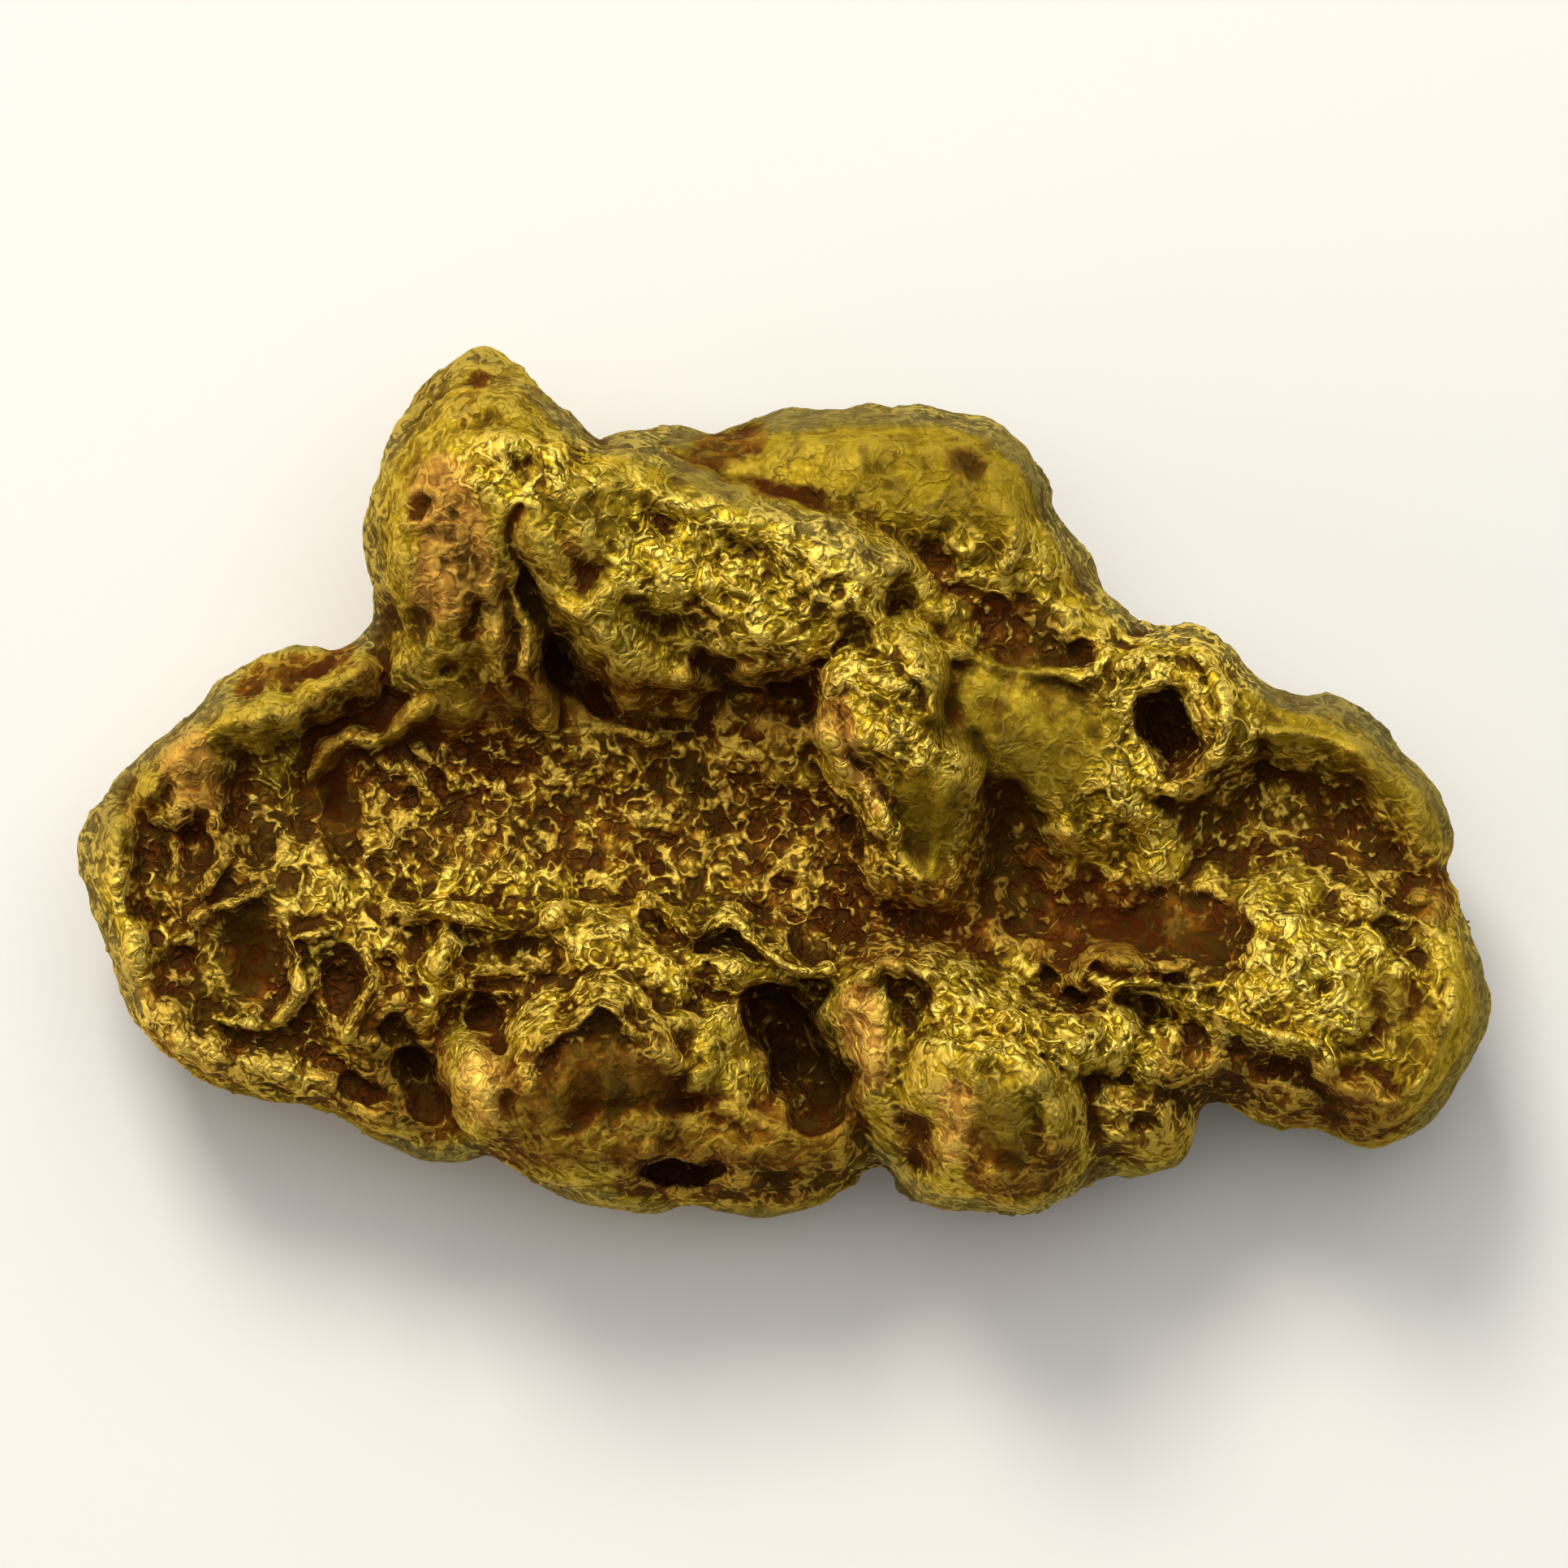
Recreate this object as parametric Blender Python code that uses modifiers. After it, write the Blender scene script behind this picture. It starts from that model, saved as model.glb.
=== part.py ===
"""Gold nugget: one lump of native gold, lying on its broad back.

Metres, +Z up. X runs along the nugget's length, from its west end to its east end, and Y from south to
north. The origin is on the ground, under the middle of the nugget's box.

The lump starts as a sphere. Its equator is drawn out to the rim, its upper half takes the height of the
upper face and its lower half that of the back. Both faces are built up in order from crests and hollows,
each of which follows a line of its own. Tables are in millimetres.
"""

import math
from collections import namedtuple

import bpy
import numpy as np
from mathutils import noise

MM = 0.001  # metres in a millimetre
LENGTH = 36.0  # from the west end to the east end
MIDDLE = (2.0, -1.0)  # every ray from here meets the rim once
RIM_STEPS = 8  # points added between two points of the rim
UPPER_ROUNDING = 1.5  # how far in from the rim the upper face has turned level
UNDER_ROUNDING = 3.4
FLOOR_OF_BASIN = 5.9  # height of the upper face where no form reaches
BACK_DATUM = 6.0  # the back's forms give depths below this height
BACK_LEVEL = 4.9  # depth of the back where no form reaches
SWAY = 0.3  # how far the forms' lines wander to either side
SWAY_LENGTH = 1.7  # the length of the widest wander
SWAY_SEED = 5
LUMP_SIZE = 1.9
LUMP_RISE = 0.55  # from the bottom of a dent to the top of a lump
LINE_STEPS = 5  # straight pieces a form's line has between two of its points
VOXEL = 0.2
MOST_TRIANGLES = 9850

# The rim seen from above, clockwise from the north peak: x, y and the height of the widest line there.
RIM = {
    "north peak": [(-7.6, 10.95, 6.2), (-6.8, 10.7, 6.4), (-5.9, 9.8, 6.4)],
    "north notch": [(-5.2, 9.2, 6.2), (-4.75, 8.7, 6.0), (-4.3, 8.75, 5.6)],
    "north dome": [(-3.8, 8.95, 5.4), (-2.9, 9.0, 5.2), (-2.0, 8.93, 5.2), (-1.1, 9.02, 5.2),
                   (-0.4, 9.3, 5.2), (0.6, 9.4, 5.2), (2.8, 9.55, 5.2), (4.0, 9.52, 5.2),
                   (5.2, 9.15, 5.0), (6.2, 8.45, 5.0), (6.8, 7.6, 4.8), (6.95, 6.95, 4.8)],
    "north-east slope": [(7.6, 5.8, 4.6), (8.05, 5.0, 4.6), (8.7, 4.5, 4.6), (9.3, 4.0, 4.8)],
    "crater shoulder": [(9.9, 4.0, 5.2), (10.7, 3.9, 5.4), (11.5, 3.4, 5.4), (12.0, 2.8, 5.2)],
    "east shoulder": [(12.7, 2.4, 5.0), (13.3, 2.25, 5.0), (14.1, 2.23, 4.8), (15.1, 1.65, 4.8),
                      (16.1, 0.5, 4.8), (16.8, -0.4, 4.6), (17.08, -1.3, 4.6)],
    "east end": [(17.0, -2.2, 4.4), (17.25, -2.9, 4.4), (17.7, -4.2, 4.4), (18.0, -5.4, 4.4),
                 (17.8, -6.7, 4.4), (17.2, -7.7, 4.2), (16.5, -8.7, 4.0), (15.6, -9.2, 3.8),
                 (14.8, -9.3, 3.8), (13.7, -8.87, 3.8), (12.7, -8.82, 3.8), (12.0, -8.55, 4.0)],
    "south-east notch": [(11.5, -8.18, 4.2), (11.05, -8.08, 4.4), (10.72, -8.25, 4.4)],
    "south-east lobe": [(10.5, -8.9, 4.2), (10.1, -9.5, 4.0), (9.4, -9.87, 3.8), (8.5, -9.93, 3.8)],
    "knob": [(7.9, -10.2, 4.0), (7.2, -10.6, 4.2), (6.3, -10.95, 4.2), (5.0, -10.92, 4.2),
             (3.8, -10.8, 4.0), (3.1, -10.4, 3.8)],
    "south notch": [(2.7, -9.95, 3.8), (2.4, -9.75, 3.8), (2.1, -9.95, 3.6)],
    "south lip": [(1.6, -10.4, 3.4), (0.6, -10.9, 3.2), (-0.6, -10.98, 3.2), (-1.6, -10.82, 3.2),
                  (-2.6, -10.68, 3.2), (-3.9, -10.85, 3.4), (-5.2, -10.75, 3.6), (-6.4, -10.2, 3.8)],
    "south-west notch": [(-7.05, -9.65, 4.0), (-7.5, -9.45, 4.0)],
    "south-west flank": [(-8.2, -9.62, 3.8), (-9.2, -9.6, 3.6), (-10.3, -9.2, 3.6),
                         (-11.6, -8.5, 3.8), (-12.5, -8.18, 4.0), (-13.9, -7.95, 4.0)],
    "west end": [(-15.2, -7.35, 4.0), (-16.3, -6.3, 4.2), (-17.1, -4.7, 4.4), (-17.6, -3.3, 4.6),
                 (-17.95, -1.9, 4.6), (-17.6, -0.7, 4.6), (-16.6, 0.6, 4.6), (-15.5, 1.55, 4.6)],
    "north-west shoulder": [(-14.9, 2.0, 4.6), (-14.2, 2.75, 4.6), (-13.2, 3.3, 4.6),
                            (-12.1, 3.45, 4.6), (-11.4, 3.42, 4.8)],
    "north-west corner": [(-10.8, 3.75, 5.0), (-10.4, 4.2, 5.2), (-10.42, 5.0, 5.4)],
    "peak's west wall": [(-10.6, 6.0, 5.6), (-10.45, 7.2, 5.8), (-10.15, 8.4, 6.0),
                         (-9.4, 9.8, 6.0), (-8.5, 10.65, 6.2)],
}

# A form follows a line of (x, y, z). A crest falls away from its line and a hollow rises from it, by
# change where it is reach away, and it is as square-shouldered as its power is high. It joins what was
# there before it with a fillet as wide as its blend.
Form = namedtuple("Form", "kind line reach change power blend")


def crest(line, reach, change, power=2.0, blend=0.6):
    return Form("crest", line, reach, change, power, blend)


def hollow(line, reach, change, power=2.0, blend=0.4):
    return Form("hollow", line, reach, change, power, blend)


UPPER_MASSES = {
    "north peak": crest([(-8.6, 6.4, 10.2), (-7.3, 7.3, 11.6), (-5.6, 7.1, 11.5)], 2.1, 1.9, 3.4),
    "back shoulder": crest([(-8.9, 8.6, 8.6), (-7.6, 9.8, 8.6), (-6.4, 9.4, 8.6)], 1.5, 2.0),
    "west column": crest([(-8.1, 6.4, 10.3), (-7.9, 4.6, 9.4), (-7.9, 3.0, 8.2)], 2.0, 2.4, 2.2),
    "tongue": crest([(-5.0, 7.0, 11.4), (-4.7, 5.4, 11.2), (-3.6, 4.3, 10.6)], 1.6, 1.6, 5.0),
    "tongue's tip": crest([(-3.8, 3.7, 10.1), (-3.1, 2.8, 9.6)], 0.8, 1.2, 4.0),
    "brow": crest([(-2.2, 5.3, 10.7), (-0.6, 4.7, 10.6), (1.4, 5.2, 10.4)], 1.7, 1.6, 5.0),
    "long ridge": crest([(-4.6, 8.0, 10.8), (-2.6, 7.0, 10.9), (0.0, 6.2, 10.8), (2.7, 5.5, 10.3)],
                        0.8, 1.5),
    "dome": crest([(-2.5, 7.9, 8.0), (1.5, 7.6, 8.9), (4.6, 7.4, 9.0), (5.2, 5.8, 8.7)],
                  2.3, 1.8, 2.6),
    "dome's foot": crest([(6.5, 5.2, 7.8), (7.8, 4.0, 7.6)], 1.5, 1.6),
    "column": crest([(2.6, 2.9, 10.3), (3.2, 1.6, 10.1), (3.6, 0.2, 9.6), (3.6, -1.2, 8.8)],
                    1.25, 1.5, 4.5),
    "saddle": crest([(5.2, 2.4, 8.2), (6.8, 1.7, 7.9), (8.2, 1.0, 8.0)], 1.7, 1.6, 2.4),
    "crater shoulder": crest([(8.7, 2.2, 8.6), (9.9, 2.4, 8.8), (10.9, 1.6, 8.7), (9.8, 0.6, 8.2)],
                             1.5, 1.8, 2.6),
    "east field": crest([(8.8, -1.4, 7.2), (12.0, -1.0, 7.0), (15.0, -1.8, 6.9)], 2.2, 1.4, 2.6),
    "east rim": crest([(11.6, 1.9, 8.3), (13.0, 1.3, 8.1), (14.6, 0.6, 8.0), (15.9, -0.5, 7.8),
                       (16.4, -1.9, 7.3)], 0.9, 1.6),
    "plateau": crest([(10.9, -4.9, 8.2), (12.4, -4.7, 8.9), (13.5, -5.0, 9.0)], 1.7, 1.5, 4.0),
    "far east rim": crest([(16.6, -3.2, 7.4), (16.9, -5.0, 7.9), (16.4, -6.6, 7.9),
                           (15.4, -7.9, 7.6)], 1.1, 1.6),
    "east folds": crest([(14.6, -4.0, 7.6), (15.6, -5.8, 7.3)], 1.3, 1.2),
    "south-east flank": crest([(9.4, -7.0, 7.4), (12.0, -7.4, 7.0), (14.4, -8.4, 6.6)], 1.2, 1.6),
    "south-east lobe": crest([(8.2, -8.4, 7.3), (9.4, -8.7, 7.2)], 1.4, 2.0),
    "knob": crest([(4.9, -7.9, 9.4), (5.4, -8.7, 9.2), (5.7, -9.3, 8.8)], 1.5, 1.8, 4.0),
    "cave's east wall": crest([(2.2, -5.8, 8.6), (2.5, -7.2, 8.3), (3.0, -8.8, 7.4)], 1.0, 1.9, 2.6),
    "south bridge": crest([(2.4, -4.9, 8.5), (4.4, -5.5, 8.6), (6.4, -6.5, 8.9), (8.2, -6.4, 8.2)],
                          1.0, 1.6, 2.6),
    "hook ridge": crest([(8.0, -4.9, 7.9), (9.2, -4.7, 8.1), (10.6, -5.0, 8.2)], 0.6, 1.3),
    "south-west bulb": crest([(-7.7, -7.4, 8.8), (-7.0, -8.2, 8.3)], 1.2, 2.2, 2.6),
    "chevron's back": crest([(-6.2, -7.4, 8.2), (-4.4, -6.6, 8.8), (-2.6, -6.8, 8.4),
                             (-1.4, -6.3, 8.0)], 1.2, 1.6, 3.0),
    "south ledge": crest([(-6.4, -9.2, 6.9), (-4.8, -9.4, 7.0), (-3.2, -8.9, 7.2), (-0.6, -8.8, 7.2),
                          (1.2, -9.1, 6.6)], 0.9, 1.4, 4.0),
    "south lip": crest([(-5.6, -10.1, 4.8), (-3.0, -10.3, 4.4), (0.6, -10.3, 4.6)], 0.5, 1.0),
    "middle ground": crest([(-8.6, -4.6, 7.3), (-5.0, -4.2, 7.4), (-2.6, -4.8, 7.6),
                            (-0.4, -4.4, 7.3)], 1.2, 1.3),
    "west crest": crest([(-16.4, -0.2, 7.2), (-15.2, 1.0, 7.8), (-13.6, 1.8, 8.3),
                         (-12.0, 2.2, 8.1), (-10.8, 3.0, 8.0)], 1.0, 1.6, 2.6),
    "west rim": crest([(-16.9, -1.0, 6.9), (-17.1, -2.8, 7.0), (-16.6, -4.8, 7.1),
                       (-15.6, -6.3, 7.1), (-13.9, -7.2, 6.8), (-11.6, -7.8, 6.6),
                       (-9.6, -8.9, 6.3)], 0.7, 1.4, 2.4),
    "west field": crest([(-14.2, -2.6, 6.7), (-11.6, -3.6, 7.0), (-10.2, -5.6, 6.9)], 1.9, 1.2, 2.6),
}

UPPER_HOLLOWS = {
    "centre basin": hollow([(-9.4, 0.8, 5.6), (-6.0, -0.4, 5.2), (-2.0, -0.8, 5.0), (1.4, -1.9, 5.0)],
                           1.5, 1.0, 2.6),
    "shelter": hollow([(-6.0, 3.2, 5.0), (-4.6, 2.2, 4.9), (-2.6, 1.7, 5.1), (-0.6, 2.0, 6.0)],
                      0.6, 1.6, 3.0),
    "red basin": hollow([(5.8, -0.9, 5.4), (5.4, -2.4, 4.7), (7.6, -3.5, 5.0), (10.4, -3.7, 5.7)],
                        0.9, 1.1, 2.6),
    "groove": hollow([(-6.6, 6.9, 9.6), (-6.5, 5.4, 8.6), (-6.0, 3.9, 6.4)], 0.32, 1.2),
    "back valley": hollow([(-3.6, 8.1, 8.6), (-1.8, 7.4, 7.9), (0.6, 6.9, 8.2), (2.6, 6.4, 8.5)],
                          0.5, 0.8),
    "brow recess": hollow([(1.3, 3.5, 8.4), (1.8, 3.9, 8.6)], 0.4, 1.2),
    "under the brow": hollow([(-1.4, 2.7, 6.4), (0.6, 2.7, 6.8)], 0.45, 1.6),
    "column's groove": hollow([(1.95, 1.6, 9.3), (2.5, 0.2, 8.9), (2.95, -1.3, 8.0)], 0.3, 1.0),
    "saddle valley": hollow([(4.9, 1.6, 7.8), (5.0, 0.0, 6.9), (4.9, -1.6, 5.8)], 0.4, 1.0),
    "crater": hollow([(9.55, 1.75, 4.4), (10.0, 0.85, 4.2)], 0.52, 2.6, 4.0, 0.3),
    "crater mouth": hollow([(10.1, 2.6, 7.9), (9.8, 1.5, 7.2)], 0.6, 0.9),
    "east basin": hollow([(11.8, -0.7, 6.3), (13.4, -0.7, 5.7), (15.4, -1.8, 5.7)], 1.3, 1.0, 3.0),
    "plateau's foot": hollow([(10.2, -6.7, 6.5), (12.4, -7.3, 6.2)], 0.6, 1.0),
    "under the ledge": hollow([(13.2, -8.3, 5.8), (15.2, -8.5, 5.8)], 0.35, 0.9),
    "east cleft": hollow([(16.6, -2.6, 6.2), (16.4, -4.6, 6.4), (14.9, -4.7, 6.8)], 0.4, 0.8),
    "south cave": hollow([(-0.25, -6.0, 3.4), (0.4, -6.7, 2.6), (1.05, -7.8, 3.2)],
                         0.7, 3.0, 6.0, 0.3),
    "slot": hollow([(-3.9, -9.65, 4.4), (-3.1, -9.6, 3.4), (-2.5, -9.95, 3.0), (-1.7, -9.75, 4.2)],
                   0.36, 1.6, 2.6, 0.2),
    "chevron's hollow": hollow([(-5.4, -7.6, 7.0), (-4.2, -7.2, 7.1)], 0.7, 0.9),
    "south-west cave": hollow([(-9.5, -7.2, 3.6), (-9.0, -8.0, 3.4)], 0.62, 2.4, 3.0, 0.3),
    "cave's neck": hollow([(-10.0, -6.1, 5.2), (-9.6, -6.5, 4.8), (-9.4, -7.2, 4.0)],
                          0.36, 1.6, 2.4, 0.2),
    "dark bowl": hollow([(-7.7, -4.7, 5.9), (-6.1, -4.6, 6.0)], 0.6, 1.0, 3.4),
    "red bowl": hollow([(-7.65, -6.1, 5.9)], 0.6, 1.1, 3.4),
    "west bowl": hollow([(-13.5, -3.8, 5.4), (-13.5, -4.9, 5.0)], 0.85, 1.1, 3.4),
    "west ring": hollow([(-15.0, -1.5, 5.2), (-15.0, -2.4, 5.1)], 0.7, 1.1, 3.4),
    "west slot": hollow([(-13.3, -1.6, 5.5)], 0.7, 0.9, 3.4),
    "west socket": hollow([(-15.3, -4.5, 5.7)], 0.75, 0.9, 3.4),
    "middle bowl": hollow([(-11.3, -4.5, 5.8), (-11.2, -5.6, 5.8)], 0.6, 0.9, 3.4),
    "middle socket": hollow([(-10.1, -4.5, 6.0)], 0.4, 0.8, 3.0),
    "low socket": hollow([(-10.9, -7.7, 5.2), (-10.4, -7.8, 5.2)], 0.35, 0.9, 3.0),
    "red wall": hollow([(-11.4, 0.4, 5.8), (-11.2, -0.7, 5.4)], 0.6, 1.0, 3.0),
    "corner pit": hollow([(-10.9, 1.95, 6.2), (-10.4, 2.1, 6.2)], 0.32, 1.0, 3.0),
    "tongue's pit": hollow([(-5.4, 5.9, 10.0), (-5.2, 5.4, 9.9)], 0.45, 0.8, 3.0),
    "peak's pit": hollow([(-7.7, 10.2, 7.4)], 0.28, 0.8, 3.0, 0.2),
    "west eye": hollow([(-9.1, 6.8, 8.8)], 0.35, 0.7, 3.0, 0.2),
    "column slit": hollow([(-7.8, 4.4, 8.2), (-7.85, 3.8, 7.9)], 0.2, 0.8, 2.0, 0.2),
    "dome's pit": hollow([(4.3, 8.15, 8.2), (4.7, 8.0, 8.1)], 0.25, 0.6, 2.0, 0.2),
    "red hollow": hollow([(5.2, 4.2, 7.2), (5.6, 4.2, 7.2)], 0.45, 0.9, 3.0),
    "amber pit": hollow([(7.65, 3.35, 6.6)], 0.32, 1.0, 3.0, 0.2),
    "bridge bowl": hollow([(3.25, -5.45, 7.2)], 0.55, 1.0, 3.0, 0.3),
    "bridge hole": hollow([(7.5, -5.4, 6.0)], 0.38, 1.4, 3.0, 0.2),
    "hook's bowl": hollow([(8.6, -5.4, 6.9), (9.3, -5.6, 6.7)], 0.42, 0.9, 3.0, 0.2),
    "knob's hollow": hollow([(5.5, -9.5, 7.4), (6.2, -9.6, 7.2)], 0.5, 0.9, 2.4, 0.4),
}

UPPER_RIDGES = {
    "peak's arc": crest([(-9.9, 7.3, 8.9), (-9.0, 8.4, 9.8), (-7.9, 9.0, 10.5), (-6.7, 9.2, 10.8),
                         (-5.5, 8.9, 10.9), (-4.4, 8.1, 10.8)], 0.5, 0.8, 2.0, 0.5),
    "drip": crest([(-7.15, 5.9, 9.9), (-6.8, 4.2, 9.2), (-6.4, 2.3, 7.8)], 0.38, 1.3, 2.0, 0.3),
    "brow's edge": crest([(-1.6, 2.9, 9.0), (-0.2, 3.3, 9.4), (0.9, 3.8, 10.0), (1.7, 4.7, 10.5),
                          (2.4, 4.2, 10.3), (3.2, 3.3, 10.1), (4.0, 2.0, 9.8)],
                         0.34, 1.0, 2.0, 0.3),
    "column's blade": crest([(1.25, 2.5, 9.8), (1.7, 0.9, 9.5), (2.3, -0.6, 8.8), (3.1, -2.1, 7.4)],
                            0.32, 1.2, 2.0, 0.3),
    "dome's edge": crest([(3.2, 4.5, 9.2), (3.9, 3.5, 9.0), (4.9, 3.0, 8.9), (6.6, 2.75, 8.8),
                          (7.8, 2.9, 8.7), (8.7, 3.7, 8.5)], 0.32, 0.9, 2.0, 0.3),
    "crater's lip": crest([(8.3, 2.4, 8.9), (9.0, 3.1, 9.1), (10.2, 3.35, 9.1), (11.0, 2.7, 9.2),
                           (11.2, 1.6, 9.0), (10.7, 0.4, 8.6), (9.9, -0.1, 8.3)],
                          0.35, 0.9, 2.0, 0.3),
    "plateau's ledge": crest([(10.4, -5.6, 8.3), (11.8, -6.1, 8.5), (13.4, -6.5, 8.8),
                              (14.1, -7.6, 8.4), (15.6, -8.0, 8.0)], 0.32, 0.9, 2.0, 0.3),
    "east fold": crest([(14.3, -3.0, 7.6), (15.7, -3.5, 7.7)], 0.3, 0.7, 2.0, 0.3),
    "lower east fold": crest([(15.2, -4.2, 7.6), (16.6, -4.1, 7.6)], 0.22, 0.7, 2.0, 0.3),
    "inner east fold": crest([(16.8, -5.6, 8.1), (16.3, -6.8, 8.1), (15.9, -7.7, 7.9)],
                             0.25, 0.8, 2.0, 0.3),
    "valley beads": crest([(8.7, -1.9, 7.5), (9.3, -2.6, 7.2), (10.1, -2.8, 7.1)],
                          0.32, 0.9, 2.0, 0.3),
    "knob's arch": crest([(4.1, -7.6, 9.6), (4.6, -6.9, 10.1), (5.5, -6.9, 10.2), (6.3, -7.7, 10.1),
                          (6.8, -8.6, 9.8), (7.1, -9.4, 9.0)], 0.5, 1.0, 2.4, 0.3),
    "chevron": crest([(-7.1, -8.2, 8.6), (-6.1, -6.8, 9.4), (-4.5, -5.6, 9.9), (-3.5, -6.6, 9.6),
                      (-2.5, -7.3, 9.0), (-1.5, -7.0, 8.6)], 0.42, 1.0, 2.0, 0.3),
    "cave's lip": crest([(-2.6, -5.4, 8.7), (-1.8, -4.9, 8.4), (0.0, -4.6, 8.1), (1.3, -4.7, 8.6)],
                        0.3, 0.8, 2.0, 0.3),
    "zigzag": crest([(-3.7, -2.7, 7.2), (-2.3, -3.9, 7.9), (-1.5, -3.4, 8.0), (0.0, -4.5, 8.2)],
                    0.2, 0.8, 2.0, 0.3),
    "basin's shore": crest([(-10.0, -3.2, 7.4), (-8.5, -3.2, 7.8), (-7.0, -3.75, 8.0),
                            (-5.9, -3.4, 7.8)], 0.28, 0.8, 2.0, 0.3),
    "west diagonal": crest([(-14.9, -3.5, 7.2), (-13.8, -3.0, 7.4), (-12.8, -2.5, 7.2)],
                           0.26, 0.9, 2.0, 0.3),
    "west loop": crest([(-14.5, -1.0, 7.0), (-14.2, -1.9, 7.1), (-14.7, -2.7, 6.9)],
                       0.18, 0.8, 2.0, 0.2),
    "bowl's wall": crest([(-12.4, -3.9, 7.4), (-12.2, -5.3, 7.4), (-13.2, -6.2, 7.0),
                          (-14.4, -6.1, 6.9)], 0.28, 0.8, 2.0, 0.3),
    "socket's wall": crest([(-10.7, -4.0, 7.5), (-10.6, -5.2, 7.5), (-11.2, -6.5, 7.2)],
                           0.22, 0.8, 2.0, 0.3),
    "corner ridge": crest([(-11.9, 0.5, 7.4), (-10.9, 1.4, 7.9), (-9.8, 1.3, 7.8),
                           (-9.0, 2.2, 7.8)], 0.26, 0.8, 2.0, 0.3),
}

# The back, mapped from above. Its heights are depths below BACK_DATUM, so its crests point down, and
# those over BACK_DATUM are worn flat on the ground.
BACK = {
    "west foot": crest([(-14.2, -2.6, 6.2), (-12.0, -4.2, 6.25)], 3.2, 1.5, 2.0, 1.2),
    "east foot": crest([(11.6, -2.6, 6.2), (14.4, -4.8, 6.25)], 3.0, 1.5, 2.0, 1.2),
    "north foot": crest([(-7.4, 6.8, 6.25), (-5.8, 4.4, 6.2)], 2.5, 1.5, 2.0, 1.2),
    "north-east foot": crest([(2.2, 6.0, 6.15), (5.2, 4.2, 6.25)], 2.4, 1.4, 2.0, 1.2),
    "south foot": crest([(0.8, -7.4, 6.2), (4.8, -7.0, 6.25)], 2.2, 1.5, 2.0, 1.2),
    "south-west swell": crest([(-6.4, -6.4, 5.7), (-4.0, -7.8, 5.8)], 2.0, 1.3, 2.0, 1.0),
    "middle swell": crest([(-3.8, -0.8, 5.6), (-0.8, 0.6, 5.8), (1.2, -0.4, 5.5)], 1.6, 1.0, 2.0, 1.0),
    "long fold": crest([(-10.4, 2.0, 5.2), (-7.0, 0.6, 5.6), (-4.8, 2.4, 5.3)], 0.8, 1.0, 2.0, 0.8),
    "east fold": crest([(5.4, 1.8, 5.3), (8.0, 0.4, 5.6), (8.6, -2.2, 5.4), (6.6, -4.2, 5.3)],
                       0.9, 1.0, 2.0, 0.8),
    "south-east swell": crest([(8.4, -7.8, 5.4), (10.0, -6.4, 5.6)], 1.2, 1.0, 2.0, 0.8),
    "belly hollow": hollow([(-2.8, -4.2, 3.9), (0.6, -3.2, 3.3), (3.8, -3.4, 3.8)], 1.3, 1.0, 2.0, 0.8),
    "north hollow": hollow([(-2.6, 4.2, 4.0), (-1.2, 5.8, 3.6), (-0.8, 7.4, 4.0)], 1.0, 1.0, 2.0, 0.8),
    "west hollow": hollow([(-9.6, -2.6, 3.9), (-9.0, -0.8, 3.7)], 1.0, 1.0, 2.0, 0.8),
    "east hollow": hollow([(9.9, 1.8, 4.2), (12.4, 0.6, 3.9)], 0.9, 1.0, 2.0, 0.8),
    "south-east hollow": hollow([(11.4, -7.2, 4.0)], 0.9, 1.0, 2.0, 0.8),
    "belly pit": hollow([(-2.2, 2.2, 4.0), (-1.7, 2.6, 4.2)], 0.5, 1.2, 2.4, 0.4),
    "fold pit": hollow([(3.6, 0.4, 3.6), (4.2, 1.2, 3.8)], 0.5, 1.2, 2.4, 0.4),
    "west pit": hollow([(-11.4, -0.8, 4.2)], 0.5, 1.2, 2.4, 0.4),
    "south pit": hollow([(-1.6, -6.6, 3.6), (-1.2, -7.4, 3.8)], 0.5, 1.4, 2.4, 0.4),
}

GOLD_COLOUR = (0.83, 0.56, 0.12, 1.0)
GOLD_ROUGHNESS = 0.3


def closed_curve(points, steps):
    """Points on a smooth closed curve through the given ones, by Catmull and Rom's rule."""
    a = np.array(points, float)
    before, after, next_after = np.roll(a, 1, 0), np.roll(a, -1, 0), np.roll(a, -2, 0)
    found = []
    for step in range(steps):
        t = step / steps
        found.append(
            0.5 * (2 * a + (after - before) * t + (2 * before - 5 * a + 4 * after - next_after) * t**2
                   + (3 * a - before - 3 * after + next_after) * t**3)
        )
    return np.stack(found, 1).reshape(-1, a.shape[1])


def open_curve(points):
    """Points on a smooth curve from the first of the given points to the last."""
    a = np.array(points, float)
    if len(a) < 3:
        return a[[0, -1]]
    ends_doubled = np.vstack([a[:1], a, a[-1:], a[-1:]])
    loop = closed_curve(ends_doubled, LINE_STEPS)
    return loop[LINE_STEPS : LINE_STEPS * len(a) + 1]


def distance_to_line(corners, x, y):
    """How far each point (x, y) is from the line seen from above, and the line's z where it is nearest."""
    nearest, height = np.full(len(x), np.inf), np.zeros(len(x))
    for (ax, ay, az), (bx, by, bz) in zip(corners[:-1], corners[1:]):
        dx, dy = bx - ax, by - ay
        share = np.clip(((x - ax) * dx + (y - ay) * dy) / max(dx * dx + dy * dy, 1e-12), 0, 1)
        distance = np.hypot(x - ax - share * dx, y - ay - share * dy)
        closer = distance < nearest
        nearest = np.where(closer, distance, nearest)
        height = np.where(closer, az + share * (bz - az), height)
    return nearest, height


def filleted_max(a, b, width):
    overlap = np.maximum(width - np.abs(a - b), 0) / width
    return np.maximum(a, b) + overlap * overlap * width / 4


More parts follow.
